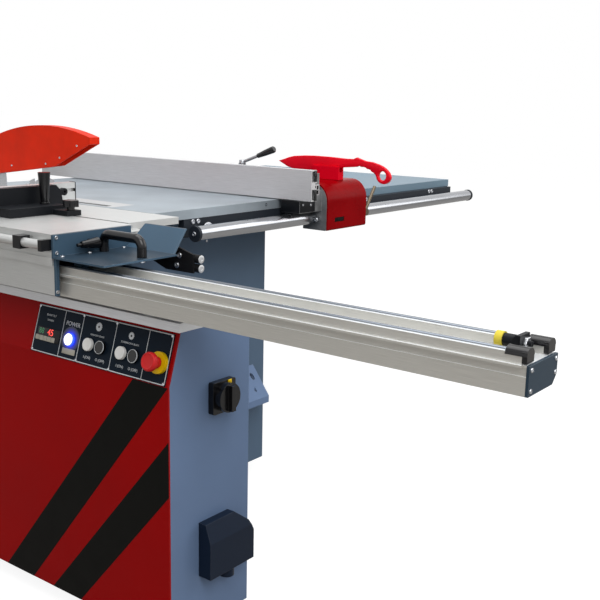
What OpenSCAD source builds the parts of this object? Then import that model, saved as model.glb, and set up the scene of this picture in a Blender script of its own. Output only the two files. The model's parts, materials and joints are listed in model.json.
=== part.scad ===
// Sliding table saw: a carriage on a long beam runs past a cast table with a tilting saw unit.
// X points to the operator's right, Y to the back and Z up. Places are first measured from the
// saw blade's plane, the saw shaft's line and the floor; place() then centres the whole machine.

/* [Cast table] */
// Height of the table top above the floor
table_h = 870; // [840:1:900]
// Depth of the cast table from front edge to back edge
table_d = 890; // [850:1:940]
// Distance from the blade to the right edge of the cast table
table_right = 560; // [540:1:600]
// Distance from the blade to the left edge of the cast table
table_left = 30; // [28:1:32]
// Thickness of the table plate
table_t = 20; // [16:1:22]
// Depth of the ribs and rim under the table top
table_rib_h = 24; // [22:1:34]
// Width of a rib
table_rib_w = 14; // [10:1:20]

/* [Table insert] */
// Distance from the blade to the left edge of the insert
insert_left = 18; // [16:1:20]
// Distance from the blade to the right edge of the insert
insert_right = 60; // [50:1:80]
// Reach of the insert in front of the saw shaft
insert_front = 285; // [270:1:310]
// Reach of the insert behind the saw shaft
insert_back = 290; // [280:1:310]
// Thickness of the insert
insert_t = 8; // [6:1:10]
// Width of the ledge that carries the insert
insert_ledge = 4; // [3:1:6]
// Play round the insert
insert_gap = 0.4; // [0.2:0.1:1]
// Width of the blade slot left of the blade
slot_left = 13; // [12:1:14]
// Width of the blade slot right of the blade
slot_right = 6; // [4:1:10]
// Margin left between the slot's ends and the insert's ends
slot_margin = 26; // [20:1:30]

/* [Extension table] */
// Width of the extension table
ext_w = 895; // [800:5:1000]
// Setback of the extension table's edges from the cast table's edges
ext_setback = 17; // [10:1:20]
// Height of the folded rim
ext_h = 46; // [40:1:60]
// Sheet thickness
ext_sheet = 3; // [2:0.5:4]

/* [Beam] */
// Length of the beam
beam_l = 3140; // [2900:10:3300]
// Width of the beam
beam_w = 100; // [96:1:106]
// Distance from the blade to the outer face of the beam
beam_out = 397; // [394:1:400]
// Drop from the table top to the underside of the beam
beam_drop = 129; // [126:1:134]
// Height of the hollow box of the beam
beam_box_h = 46; // [42:1:48]
// Wall of the beam
beam_wall = 5; // [4:0.5:7]
// Width of the two ridges
ridge_w = 24; // [20:1:26]
// Height of the two ridges
ridge_h = 16; // [14:1:17]
// Overhang of the fin along each side
fin_out = 5; // [3:0.5:6]
// Thickness of the fin
fin_t = 4; // [3:0.5:6]
// Diameter of the guide rods
rod_d = 10; // [8:0.5:12]
// Depth of the rod's centre below the ridge top
rod_sink = 2; // [1:0.5:3]
// Length of the plastic cap at each end of a ridge
cap_l = 34; // [28:1:40]
// Thickness of the beam's end covers
cover_t = 5; // [3:1:8]

/* [Beam stops] */
// Diameter of the rubber bumper
bumper_d = 26; // [22:1:28]
// Length of the rubber bumper
bumper_l = 12; // [10:1:18]
// Distance from the beam's end to the bumper's face
bumper_reach = 71; // [70:1:80]
// Thickness of the bumper bracket
bumper_block_l = 14; // [12:1:16]
// Width of the bumper bracket
bumper_block_w = 34; // [30:1:40]

/* [Carriage] */
// Length of the carriage
carriage_l = 1600; // [1500:10:1700]
// Distance from the saw shaft to the carriage's front end
carriage_front = 557; // [500:1:600]
// Distance from the blade to the carriage's outer face
carriage_out = 419; // [416:1:430]
// Thickness of the carriage top
carriage_t = 12; // [10:1:16]
// Wall of the carriage
carriage_wall = 7; // [6:1:9]
// Depth of the carriage's upper side below the table top
skirt_upper_h = 65; // [58:1:75]
// Depth of the carriage's lower skirt below the table top
skirt_h = 127; // [110:1:128]
// Thickness of the lower skirt
skirt_t = 6; // [4:0.5:6]
// Distance from the blade to the middle of the clamping slot
tslot_x = 195; // [190:1:200]
// Width of the clamping slot
tslot_w = 10; // [8:0.5:12]
// Distance from the blade to the right edge of the carriage strip
strip_edge = 34; // [32.5:0.5:40]
// Thickness of the carriage strip
strip_t = 16; // [14:1:18]
// Setback of the strip's ends from the carriage's ends
strip_setback = 24; // [10:1:40]

/* [Carriage fittings] */
// Thickness of the end plates
plate_t = 6; // [4:0.5:8]
// Reach of the front shelf in front of the end plate
shelf_reach = 150; // [146:1:160]
// Thickness of the shelf
shelf_t = 4; // [3:0.5:5]
// Reach of the gusset's top edge in front of the end plate
gusset_reach = 123; // [110:1:140]
// Distance between the two legs of the push handle
handle_span = 114; // [100:1:116]
// Diameter of the handle tube
handle_d = 20; // [16:1:24]
// Height of the handle over the shelf
handle_h = 47; // [44:1:60]
// Diameter of the round bar along the carriage
side_bar_d = 19; // [16:1:22]
// Distance from the carriage's outer face to the bar's middle
side_bar_out = 14; // [13:0.5:18]
// Depth of the bar's middle below the table top
side_bar_drop = 21; // [16:1:26]

/* [Roller cage] */
// Length of the roller cage
cage_l = 700; // [600:10:800]
// Diameter of the rollers
roller_d = 24; // [22:0.5:25]
// Width of the rollers
roller_w = 14; // [10:1:16]
// Rollers in each row
roller_count = 4; // [3:1:6]
// Thickness of the cage
cage_t = 6; // [5:0.5:8]

/* [Crosscut fence] */
// Length of the crosscut fence
cross_l = 579; // [560:1:600]
// Height of the crosscut fence
cross_h = 54; // [50:1:64]
// Thickness of the crosscut fence
cross_t = 22; // [18:1:26]
// Distance from the blade to the fence's right end
cross_edge = 75; // [65:1:85]
// Distance from the saw shaft to the fence's front face
cross_front = 215; // [200:1:230]
// Height of the fence over the table
cross_lift = 7; // [4:1:8]
// Distance from the saw shaft to the pivot knob
pivot_front = 345; // [330:1:360]

/* [Rip fence] */
// Distance from the blade to the face of the rip fence
rip_x = 442; // [430:1:460]
// Length of the fence plate
rip_l = 1150; // [1050:10:1250]
// Height of the fence plate
rip_h = 84; // [76:1:95]
// Thickness of the fence plate
rip_t = 24; // [20:1:30]
// Distance from the saw shaft to the plate's front end
rip_front = 563; // [540:1:590]
// Gap between the fence plate and the table
rip_lift = 3; // [2:0.5:5]
// Width of the sliding head on the rail
head_w = 195; // [180:1:210]
// Gap between the fence plate and the head
head_gap = 82; // [75:1:90]
// Length of the push stick
stick_l = 400; // [370:1:420]
// Thickness of the push stick
stick_t = 12; // [10:1:16]

/* [Rail] */
// Diameter of the fence rail
rail_d = 37; // [34:1:40]
// Length of the rail
rail_l = 1415; // [1350:5:1430]
// Distance from the blade to the rail's left end
rail_left = 74; // [64:1:80]
// Distance from the cast table's front edge to the middle of the rail
rail_out = 43; // [40:1:46]
// Depth of the rail's middle below the table top
rail_drop = 55; // [52:1:60]
// Thickness of the rail's bar
bar_t = 20; // [16:1:24]
// Height of the rail's bar
bar_h = 46; // [40:1:50]

/* [Base and cabinet] */
// Length of the base under the beam
base_l = 1660; // [1600:10:1750]
// Width of the base
base_w = 237; // [230:1:245]
// Distance from the blade to the base's right face
base_right = 125; // [120:1:130]
// Drop from the table top to the base top
base_drop = 158; // [154:1:164]
// Drop from the table top to the fold in the base's outer side
fold_drop = 277; // [265:1:290]
// Inward lean of the side above the fold
lean_in = 36; // [30:1:40]
// Sheet thickness of the base and the cabinet
sheet_t = 3; // [2:0.5:4]
// Thickness of the red side panel
panel_sheet = 3; // [2:0.5:4]
// Distance from the blade to the cabinet's right face
cab_right = 532; // [500:1:540]
// Depth of the cabinet
cab_d = 660; // [655:1:680]
// Drop from the table top to the cabinet's low left shoulder
shoulder_drop = 70; // [60:1:80]
// Height of the feet under the base
foot_h = 43; // [36:1:50]
// Height of the feet under the cabinet
cab_foot_h = 57; // [50:1:70]
// Diameter of the feet
foot_d = 60; // [50:1:80]

/* [Control panel] */
// Length of the control panel
ctrl_l = 414; // [405:1:425]
// Height of the control panel along the slope
ctrl_h = 104; // [98:1:105]
// Thickness of the control panel
ctrl_t = 9; // [8:0.5:12]
// Diameter of the push buttons
button_d = 27; // [22:1:28]
// Travel of the push buttons
button_travel = 4; // [3:0.5:5]
// Diameter of the emergency stop's mushroom
stop_d = 38; // [34:1:42]
// Diameter of the emergency stop's collar
collar_d = 44; // [40:1:46]
// Side of the main switch plate
switch_w = 68; // [60:1:75]
// Diameter of the main switch knob
switch_d = 62; // [54:1:66]

/* [Saw unit] */
// Diameter of the saw blade
blade_d = 315; // [300:1:320]
// Thickness of the saw blade
blade_t = 3; // [2.6:0.1:3.6]
// Height of the blade over the table
blade_show = 55; // [50:1:60]
// Number of teeth
teeth = 24; // [12:2:48]
// Diameter of the saw shaft
arbor_d = 30; // [28:1:32]
// Diameter of the scoring blade
score_d = 90; // [80:1:100]
// Distance from the saw shaft to the scoring blade
score_front = 205; // [204:1:212]
// Diameter of the motor
motor_d = 160; // [140:1:165]
// Length of the motor
motor_l = 240; // [220:1:260]
// Width of the guard
guard_w = 32; // [28:1:40]
// Wall of the guard
guard_wall = 3; // [2:0.5:4]

/* [Hidden] */
$fn = 48;
over = 2;
run_fit = 0.05;
slip = 0.3;
seam = 0.4;

// Beam
beam_x0 = -beam_out;
beam_x1 = beam_x0 + beam_w;
beam_mid = (beam_x0 + beam_x1) / 2;
beam_z0 = table_h - beam_drop;
beam_z1 = beam_z0 + beam_box_h;
ridge_z = beam_z1 + ridge_h;
rod_z = ridge_z - rod_sink;
rod_top = rod_z + rod_d / 2;
rod_xs = [beam_x0 + ridge_w / 2, beam_x1 - ridge_w / 2];
rod_l = beam_l - 2 * cap_l;
cap_rise = 5;
cap_z = rod_top + cap_rise;
cover_chamfer = 14;
cap_skirt = 1.5;
cap_w = ridge_w + 2 * cap_skirt;
cap_hang = 4;
flap_t = 8;
flap_gap = 2;
fin_back = 6;
side_step = 2;
side_step_h = 13;

// Beam stops
bumper_rise = 8;
bumper_top = cap_z + bumper_rise;
bumper_z = bumper_top - bumper_d / 2;
bumper_y = beam_l / 2 - bumper_reach;
bumper_neck_l = 18;
bumper_bolt_d = 9;
bumper_nut_d = 17;
bumper_nut_h = 6;
bumper_tail = 6;
bumper_cut = 7;
bumper_y1 = bumper_y + bumper_l;
bumper_y2 = bumper_y1 + bumper_neck_l;
bumper_y3 = bumper_y2 + bumper_block_l;
bumper_shares = [0.92, 0.76];

// Carriage
carriage_x0 = -carriage_out;
carriage_y0 = -carriage_front;
carriage_y1 = carriage_y0 + carriage_l;
carriage_z = table_h - carriage_t;
tslot_x0 = -tslot_x - tslot_w / 2;
tslot_x1 = -tslot_x + tslot_w / 2;
tslot_wall = 12;
tslot_lip = 7;
tslot_groove = 5;
strip_x1 = -strip_edge;
strip_z = table_h - strip_t;
strip_seat_w = 40;
strip_seat_t = 8;
skirt_x0 = carriage_x0 + carriage_wall;
skirt_lap = 7;
far_skirt_gap = 8;
far_skirt_h = 100;
hanger_w = 18;
upper_rod_z = rod_top + roller_d + 2 * slip + rod_d / 2;
groove_depth = 2;
groove_h = 5;
groove_shares = [0.3, 0.5, 0.7];

// End plates
end_low = table_h - skirt_h;
shelf_gap = 10;
shelf_z = cap_z + shelf_gap;
plate_inset = 15;
plate_right = -tslot_x - plate_inset;
plate_drop = 1;
leg_gap = 3.5;
leg_x1 = beam_x0 - fin_out - leg_gap;
leg_lap = 2;
tongue_side = 7;
tongue_gap = 5;
tongue_z = beam_z1 + tongue_gap;
right_leg_x0 = beam_x1 + fin_out + far_skirt_gap;
right_leg_z = table_h - far_skirt_h;
notch_gap = 1;
notch_z = strip_z - strip_seat_t - notch_gap;
notch_out = 8;
notch_x1 = tslot_x1 + notch_out;
gusset_in = 33;
gusset_x0 = -tslot_x - gusset_in;
gusset_lean = 59;
gusset_back = 7;
gusset_foot = shelf_reach - gusset_back;

// Push handle and carriage knob
handle_in = 97;
handle_x = beam_x0 + handle_in;
handle_back = 15;
handle_y = carriage_y0 - plate_t - handle_back - handle_span / 2;
bend_r = 18;
knob_in = 69;
knob_x = beam_x0 + knob_in;
knob_drop = 25;
knob_hub_d = 16;
knob_hub_l = 14;
knob_lead = 11;
knob_grip_d = 24;
knob_end_d = 13;
knob_grip_l = 42;
knob_tip_d = 7;
knob_tip_l = 11;

// Carriage buffers
buffer_d = 18;
buffer_l = 30;
buffer_drop = 1;
buffer_z = cap_z - buffer_drop;
buffer_pitch = 20;
buffer_back = 140;
buffer_sink = 2;
buffer_plate_t = 5;

// Side bar
side_bar_x = carriage_x0 - side_bar_out;
side_bar_z = table_h - side_bar_drop;
bar_bracket_w = 22;
bar_bracket_l = 24;
bar_end_gap = 11;
bar_bracket_shares = [0.05, 0.35, 0.65, 0.95];

// Roller cage
roller_z = rod_top + slip + roller_d / 2;
cage_y0 = -200;
cage_y1 = cage_y0 + cage_l;
cage_row_w = 26;
cage_bar_l = 30;
roller_pin_d = 5;
roller_pitch = cage_l / roller_count;
roller_ys = [for (i = [0:roller_count - 1]) cage_y0 + roller_pitch * (i + 0.5)];

// Crosscut fence
cross_x1 = -cross_edge;
cross_x0 = cross_x1 - cross_l;
cross_y0 = -cross_front;
cross_z0 = table_h + cross_lift;
cross_groove_w = 8;
cross_groove_d = 7;
cross_wall = 3;
cross_base_t = 20;
cross_arm_t = 12;
cross_base_z = table_h + slip;
cross_base_x0 = -330;
cross_base_over = 23;
cross_base_x1 = -tslot_x + cross_base_over;
cross_base_d = 88;
cross_arm_w = 40;
cross_arm_reach = 12;
cross_block_back = 55;
cross_block_x1 = cross_x1 - cross_block_back;
cross_block_t = 24;
cross_block_h = 40;
cross_block_cut = 14;
clamp_off = 8;
clamp_x = -tslot_x - clamp_off;
clamp_gap = 22;
clamp_stud_d = 10;
clamp_collar_d = 24;
clamp_collar_h = 4;
clamp_low_d = 19;
clamp_high_d = 29;
clamp_h = 70;
star_d = 38;
star_h = 15;
star_lobe_d = 11;
star_lobes = 6;
star_neck_d = 18;
star_neck_h = 8;
star_stud_d = 9;
star_stud_l = 14;

// Rip fence
rip_y0 = -rip_front;
rip_y1 = rip_y0 + rip_l;
rip_z0 = table_h + rip_lift;
rip_x1 = rip_x + rip_t;
rip_wall = 3;
rail_y = -table_d / 2 - rail_out;
rail_z = table_h - rail_drop;
rail_x1 = rail_left + rail_l;
rail_wall = 4;
rail_cap_t = 8;
rail_cap_lip = 1.5;
stud_sink = 1;
stud_d = 16;
stud_shares = [0.054, 0.52, 0.93];
head_x0 = rip_x1 + head_gap;
head_x1 = head_x0 + head_w;
head_wall = 15;
head_y0 = rail_y - rail_d / 2 - head_wall;
head_back_wall = 12;
head_y1 = rail_y + rail_d / 2 + head_back_wall;
head_low_wall = 16;
head_z0 = rail_z - rail_d / 2 - head_low_wall;
head_rise = 8;
head_z1 = rip_z0 + head_rise;
cover_wall = 4;
cover_front = 22;
cover_y0 = head_y0 - cover_front;
cover_back = 40;
cover_y1 = head_y1 + cover_back;
cover_rise = 46;
cover_z1 = table_h + cover_rise;
cover_r = 54;
cover_lip_r = 6;
cast_y0 = cover_y0 + cover_wall;
cast_z1 = cover_z1 - cover_wall;
window_w = 47;
window_h = 13;
window_in = 36;
window_drop = 12;
window_z = rail_z - window_drop;
carrier_t = 68;
carrier_back = 250;
carrier_z0 = rip_z0 + head_rise;
carrier_drop = 14;
carrier_z1 = rip_z0 + rip_h - carrier_drop;
carrier_tongue_h = 14;
carrier_tongue_d = 6;
carrier_tongue_z = rip_z0 + rip_h * 0.5;
bridge_gap = 3;
bridge_z0 = rail_z + rail_d / 2 + bridge_gap;
bridge_rise = 14;
bridge_in = 4;
clamp_lever_y = -266;
clamp_boss_d = 22;
clamp_boss_h = 10;
clamp_hub_h = 14;
clamp_rod_d = 9;
clamp_rod_l = 62;
clamp_grip_d = 20;
clamp_grip_l = 66;
clamp_lean = 20;
lock_out = 14;
lock_x = head_x1 + lock_out;
lock_up = 3;
lock_z = rail_z + lock_up;
lock_hub_d = 22;
lock_hub_l = 16;
lock_rod_d = 10;
lock_rod_l = 88;
lock_lean = 35;
stick_in = 110;
stick_x = head_x0 + stick_in;
stick_back = 242;
stick_y = head_y0 + stick_back;
stick_h = 70;
stick_drop = 1.4;
stick_z = cover_z1 - stick_drop;
stick_hole_d = 26;
stick_hole_shares = [0.932, 0.33];
holder_l = 94;
holder_t = 26;
holder_in = 36;
holder_y0 = cover_y0 + holder_in;
holder_h = 38;
holder_floor = 22;
holder_z1 = cover_z1 + holder_h;
// Outline of the push stick from its tip, in parts of its length and height
stick_shares = [
    [0, 0.653], [0.053, 0.743], [0.1, 0.835], [0.147, 0.896], [0.24, 0.942], [0.34, 0.96], [0.479, 0.952],
    [0.615, 0.921], [0.682, 0.926], [0.711, 1], [0.748, 0.934], [0.787, 0.875], [0.846, 0.85], [0.898, 0.775],
    [0.927, 0.715], [0.952, 0.64], [0.973, 0.55], [0.988, 0.455], [0.997, 0.36], [1, 0.28], [0.996, 0.19],
    [0.985, 0.1], [0.966, 0.03], [0.945, 0], [0.92, 0.022], [0.899, 0.095], [0.887, 0.19], [0.882, 0.28],
    [0.873, 0.368], [0.858, 0.43], [0.842, 0.466], [0.832, 0.53], [0.818, 0.555], [0.803, 0.562], [0.79, 0.615],
    [0.77, 0.633], [0.753, 0.625], [0.737, 0.663], [0.722, 0.645], [0.71, 0.615], [0.591, 0.549], [0.45, 0.44],
    [0.316, 0.356], [0.23, 0.338], [0.135, 0.361], [0.09, 0.42], [0.054, 0.514]
];

// Base and cabinet
ext_d = table_d - 2 * ext_setback;
base_h = table_h - base_drop;
fold_h = table_h - fold_drop;
cab_shoulder = table_h - shoulder_drop;
base_x1 = -base_right;
base_x0 = base_x1 - base_w;
base_y = base_l / 2;
lean_angle = atan(lean_in / (base_h - fold_h));
lean_cos = cos(lean_angle);
lean_sin = sin(lean_angle);
slope_l = (base_h - fold_h) / lean_cos;
side_out = panel_sheet / lean_cos;
cab_y = cab_d / 2;
cab_top = table_h - table_rib_h;
well_front = 250;
well_back = 260;
well_drop = 400;
well_low = table_h - well_drop;
well_reach = 185;
mount_bar_h = 18;
mount_bar_w = 75;
mount_bar_in = 20;
mount_bar_x0 = beam_x0 + mount_bar_in;
mount_bar_over = 42;
pad_d = 40;
pad_shares = [0.04, 0.35, 0.65, 0.96];
port_d = 120;
port_wall = 3;
port_l = 60;
port_x = 300;
port_z = 190;
door_w = 400;
door_h = 480;
door_z0 = 160;
door_t = 3;
door_lap = 18;
door_gap = 1;
pin_d = 8;
lug_h = 10;
knuckle_d = 14;
knuckle_l = 60;
knuckle_shares = [0.18, 0.82];
door_knob_d = 34;
door_knob_h = 22;
foot_pad_h = 14;
foot_stem_d = 20;
base_foot_shares = [-0.42, 0, 0.42];

// Front fittings
switch_in = 93;
switch_x = base_x1 - switch_in;
switch_drop = 49;
switch_z = fold_h - switch_drop;
switch_plate_t = 14;
switch_knob_t = 16;
switch_grip_w = 12;
switch_grip_t = 10;
inlet_w = 138;
inlet_h = 120;
inlet_d = 34;
inlet_in = 156;
inlet_x0 = base_x1 - inlet_in;
inlet_hood = 20;
inlet_slope = 40;
inlet_cut_w = [13, 49];
inlet_cut_h = [54, 28];
inlet_z1 = 282;
inlet_bore_d = 20;
inlet_gland_d = 32;
inlet_gland_h = 18;
bracket_x0 = 372;
bracket_w = 110;
bracket_reach = 64;
bracket_top = 364;
bracket_drop = 84;
bracket_lip = 20;
bracket_t = 4;
bracket_hole_ds = [15, 9];
bracket_hole_x_shares = [0.755, 0.624];
bracket_hole_y_shares = [0.32, 0.71];

// Control panel
ctrl_margin = 9;
ctrl_sink = 7;
ctrl_y0 = -base_y + ctrl_margin;
ctrl_mid_share = 0.4224;
row_share = 0.4135;
lamp_share = 0.71;
button_shares = [0.56, 0.469, 0.32, 0.2295];
stop_share = 0.059;
hole_floor = 1.5;
button_rise = 6;
bezel_d = 30;
bezel_h = 2;
lamp_d = 22;
lamp_rise = 5;
collar_h = 8;
stop_stem_d = 22;
stop_head_h = 14;
stop_gap = 14;

// Saw unit
arbor_z = table_h + blade_show - blade_d / 2;
arbor_tail = 162;
block_x0 = 14;
block_x1 = 118;
block_d = 86;
block_arm_in = 16;
flange_d = 70;
flange_t = 6;
nut_d = 34;
nut_t = 11;
pulley_x0 = 126;
pulley_x1 = 158;
pulley_d = 72;
motor_pulley_d = 100;
belt_t = 5;
belt_steps = 24;
motor_y = 160;
motor_drop = 78;
motor_z = arbor_z - motor_drop;
motor_x0 = 190;
motor_shaft_d = 24;
wall_x0 = 172;
wall_t = 12;
arm_y0 = -118;
arm_y1 = -60;
arm_h = 40;
post_y = -95;
post_xs = [50, 140];
post_d = 24;
post_top = 28;
post_low = 345;
stand_y0 = -138;
stand_y1 = -124;
stand_x0 = 30;
stand_x1 = 360;
stand_lug_t = 16;
lug_y1 = -78;
tie_x = 330;
tie_d = 30;
tie_drops = [42, 348];
end_x0 = 112;
end_x1 = 362;
end_y = 292;
end_t = 12;
end_top = 26;
end_low_drop = 366;
end_cut = 100;
arc_r0 = 180;
arc_r1 = 200;
arc_gap = 2;
arc_y0 = end_y + end_t + arc_gap;
arc_t = 11;
arc_y1 = arc_y0 + arc_t;
shoe_back = 1;
hang_y1 = cab_y - sheet_t;
arc_from = -97;
arc_to = -22;
shoe_from = -50;
shoe_to = -30;
shoe_t = 14;
shoe_gap = 0.4;
score_drop = 14;
score_z = table_h - score_drop - score_d / 2;
score_body_d = 58;
score_body_x0 = 12;
score_body_x1 = 150;
score_shaft_d = 12;
score_lug_w = 60;
score_arm_gap = 0.4;
knife_t = 2.4;
knife_gap = 10;
knife_y0 = blade_d / 2 + knife_gap;
knife_w = 60;
knife_rise = 128;
knife_top = table_h + knife_rise;
knife_lean = 6;
knife_foot_h = 70;
knife_pad_h = 44;
knife_pad_w = 52;
knife_arm_t = 16;
pivot_y = 195;
pivot_rise = 108;
pivot_z = table_h + pivot_rise;
guard_pin_d = 8;
guard_back = 250;
guard_nose = 205;
guard_arc_r = 675;
guard_arc_y = -25;
guard_rise = 193;
guard_top = table_h + guard_rise;
guard_chin_y = -175;
guard_chin_rise = 139;
guard_chin_z = table_h + guard_chin_rise;
guard_jaw_y = -65;
guard_jaw_rise = 89;
guard_jaw_z = table_h + guard_jaw_rise;
guard_tail_rise = 46;
guard_tail_z = table_h + guard_tail_rise;
guard_nose_rise = 152;
guard_nose_z = table_h + guard_nose_rise;
guard_brow = 30;
guard_slot_w = 10;
tooth_gap_share = 0.35;
tooth_depth = 9;

// Outline of the whole machine
x_min = cross_x0;
x_max = rail_x1 + rail_cap_t;
centre_x = (x_min + x_max) / 2;

// Shapes shared by the pieces

module place() {
    translate([-centre_x, 0, 0]) children();
}

module slab(x, y, z) {
    translate([x[0], y[0], z[0]]) cube([x[1] - x[0], y[1] - y[0], z[1] - z[0]]);
}

module rod_along_x(x, y, z, d) {
    translate([x[0], y, z]) rotate([0, 90, 0]) cylinder(h = x[1] - x[0], d = d);
}

module rod_along_y(x, y, z, d) {
    translate([x, y[0], z]) rotate([-90, 0, 0]) cylinder(h = y[1] - y[0], d = d);
}

module rod_along_z(x, y, z, d) {
    translate([x, y, z[0]]) cylinder(h = z[1] - z[0], d = d);
}

// A profile drawn in X and Z, drawn out along Y
module along_y(y) {
    translate([0, y[1], 0]) rotate([90, 0, 0]) linear_extrude(y[1] - y[0]) children();
}

// A profile drawn in Y and Z, drawn out along X
module along_x(x) {
    translate([x[0], 0, 0]) rotate([90, 0, 90]) linear_extrude(x[1] - x[0]) children();
}

module patch(x, z) {
    translate([x[0], z[0]]) square([x[1] - x[0], z[1] - z[0]]);
}

// A flat rectangle with round corners
module soft_patch(x, z, r) {
    patch([x[0] + r, x[1] - r], z);
    patch(x, [z[0] + r, z[1] - r]);
    for (px = [x[0] + r, x[1] - r], pz = [z[0] + r, z[1] - r]) translate([px, pz]) circle(r = r);
}

module both_ends() {
    children();
    mirror([0, 1, 0]) children();
}

// A frame on the back of the sunk control panel: X up the slope, Y along the base, Z outwards
module on_panel(along, up) {
    translate([base_x0 - side_out + up * lean_sin, along, fold_h + up * lean_cos])
        rotate([0, lean_angle - 90, 0]) translate([0, 0, -ctrl_sink]) children();
}

module panel_blank() {
    on_panel(ctrl_y0 + ctrl_l / 2, ctrl_up) translate([-ctrl_h / 2, -ctrl_l / 2, 0]) cube([ctrl_h, ctrl_l, ctrl_t]);
}

function along_panel(share) = ctrl_y0 + ctrl_l * share;
ctrl_up = slope_l * ctrl_mid_share;
row_up = ctrl_up + (row_share - 0.5) * ctrl_h;

// Beam

module beam_profile() {
    difference() {
        patch([beam_x0, beam_x1], [beam_z0, beam_z1]);
        // shallow step under the fin on both sides
        for (x = [[beam_x0 - over, beam_x0 + side_step], [beam_x1 - side_step, beam_x1 + over]])
            patch(x, [beam_z1 - fin_t - side_step_h, beam_z1 - fin_t]);
        patch([beam_x0 + beam_wall, beam_mid - beam_wall / 2], [beam_z0 + beam_wall, beam_z1 - beam_wall]);
        patch([beam_mid + beam_wall / 2, beam_x1 - beam_wall], [beam_z0 + beam_wall, beam_z1 - beam_wall]);
    }
}

module ridge_profile() {
    difference() {
        for (x = rod_xs) patch([x - ridge_w / 2, x + ridge_w / 2], [beam_z1, ridge_z]);
        for (x = rod_xs) translate([x, rod_z]) circle(d = rod_d + 2 * run_fit);
    }
}

module beam() {
    color("silver") place() {
        along_y([-beam_l / 2, beam_l / 2]) beam_profile();
        along_y([-beam_l / 2 + fin_back, beam_l / 2 - fin_back])
            patch([beam_x0 - fin_out, beam_x1 + fin_out], [beam_z1 - fin_t, beam_z1]);
        along_y([-beam_l / 2 + flap_t, beam_l / 2 - flap_t]) ridge_profile();
    }
}

module guide_rods() {
    color("lightgray") place()
        for (x = rod_xs) rod_along_y(x, [-rod_l / 2, rod_l / 2], rod_z, rod_d);
}

// A half-round hood over the end of a ridge, with a flap over the rod's end
module rod_cap(x) {
    along_y([rod_l / 2, beam_l / 2]) difference() {
        intersection() {
            translate([x, cap_z - cap_w / 2]) circle(d = cap_w);
            patch([x - cap_w / 2, x + cap_w / 2], [ridge_z - cap_hang, cap_z]);
        }
        patch([x - ridge_w / 2, x + ridge_w / 2], [beam_z1, ridge_z]);
    }
    along_y([beam_l / 2 - flap_t, beam_l / 2])
        patch([x - ridge_w / 2, x + ridge_w / 2], [beam_z1 + flap_gap, ridge_z + flap_gap]);
}

module rod_caps() {
    color("black") place() both_ends() for (x = rod_xs) rod_cap(x);
}

module beam_end_covers() {
    color("slategray") place() both_ends() along_y([beam_l / 2, beam_l / 2 + cover_t])
        polygon([
            [beam_x0, beam_z0], [beam_x1 - cover_chamfer, beam_z0], [beam_x1, beam_z0 + cover_chamfer],
            [beam_x1, beam_z1], [beam_x0, beam_z1]
        ]);
}

module beam_mount_bar() {
    color("gray") place() {
        slab([mount_bar_x0, mount_bar_x0 + mount_bar_w], [-base_y - mount_bar_over, base_y + mount_bar_over],
             [base_h, base_h + mount_bar_h]);
        for (s = pad_shares)
            rod_along_z(mount_bar_x0 + mount_bar_w / 2, -base_y + base_l * s,
                        [base_h + mount_bar_h, beam_z0], pad_d);
    }
}

module bumper_brackets() {
    color("dimgray") place() both_ends() {
        along_x([beam_mid - bumper_block_w / 2, beam_mid + bumper_block_w / 2]) polygon([
            [bumper_y2, beam_z1], [bumper_y3, beam_z1], [bumper_y3, bumper_top],
            [bumper_y2 + bumper_cut, bumper_top], [bumper_y2, bumper_top - bumper_cut]
        ]);
        rod_along_y(beam_mid, [bumper_y1, bumper_y2], bumper_z, bumper_d * bumper_shares[1]);
        translate([beam_mid, bumper_y3, bumper_z]) rotate([-90, 0, 0])
            cylinder(h = bumper_nut_h, d = bumper_nut_d, $fn = 6);
        rod_along_y(beam_mid, [bumper_y3, bumper_y3 + bumper_nut_h + bumper_tail], bumper_z, bumper_bolt_d);
    }
}

module bumpers() {
    color("gold") place() both_ends()
        rod_along_y(beam_mid, [bumper_y, bumper_y1], bumper_z, bumper_d * bumper_shares[0]);
}

// Tables

module main_table() {
    color("lightsteelblue") place() difference() {
        slab([-table_left, table_right], [-table_d / 2, table_d / 2], [cab_top, table_h]);
        // pockets between the ribs
        for (x = [[insert_right + table_rib_w, table_right / 2 - table_rib_w / 2],
                  [table_right / 2 + table_rib_w / 2, table_right - table_rib_w]],
             y = [[-table_d / 2 + bar_t + table_rib_w, -table_rib_w / 2],
                  [table_rib_w / 2, table_d / 2 - table_rib_w]])
            slab(x, y, [cab_top - over, table_h - table_t]);
        slab([-insert_left, insert_right], [-insert_front, insert_back], [table_h - insert_t, table_h + over]);
        slab([-table_left - over, insert_right - insert_ledge],
             [-insert_front + insert_ledge, insert_back - insert_ledge], [cab_top - over, table_h - insert_t]);
    }
}

module table_insert() {
    color("gainsboro") place() difference() {
        slab([-insert_left + insert_gap, insert_right - insert_gap],
             [-insert_front + insert_gap, insert_back - insert_gap], [table_h - insert_t, table_h]);
        slab([-slot_left, slot_right], [-insert_front + slot_margin, insert_back - slot_margin],
             [table_h - insert_t - over, table_h + over]);
    }
}

module extension_table() {
    color("lightslategray") place() difference() {
        slab([table_right + seam, table_right + seam + ext_w], [-ext_d / 2, ext_d / 2], [table_h - ext_h, table_h]);
        slab([table_right + seam + ext_sheet, table_right + seam + ext_w - ext_sheet],
             [-ext_d / 2 + bar_t + ext_sheet, ext_d / 2 - ext_sheet], [table_h - ext_h - over, table_h - ext_sheet]);
        // the rail's bar passes below the front edge
        slab([table_right, table_right + ext_w + over], [-ext_d / 2 - over, -table_d / 2 + bar_t + seam],
             [table_h - ext_h - over, cab_top + seam]);
    }
}

// Rail

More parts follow.
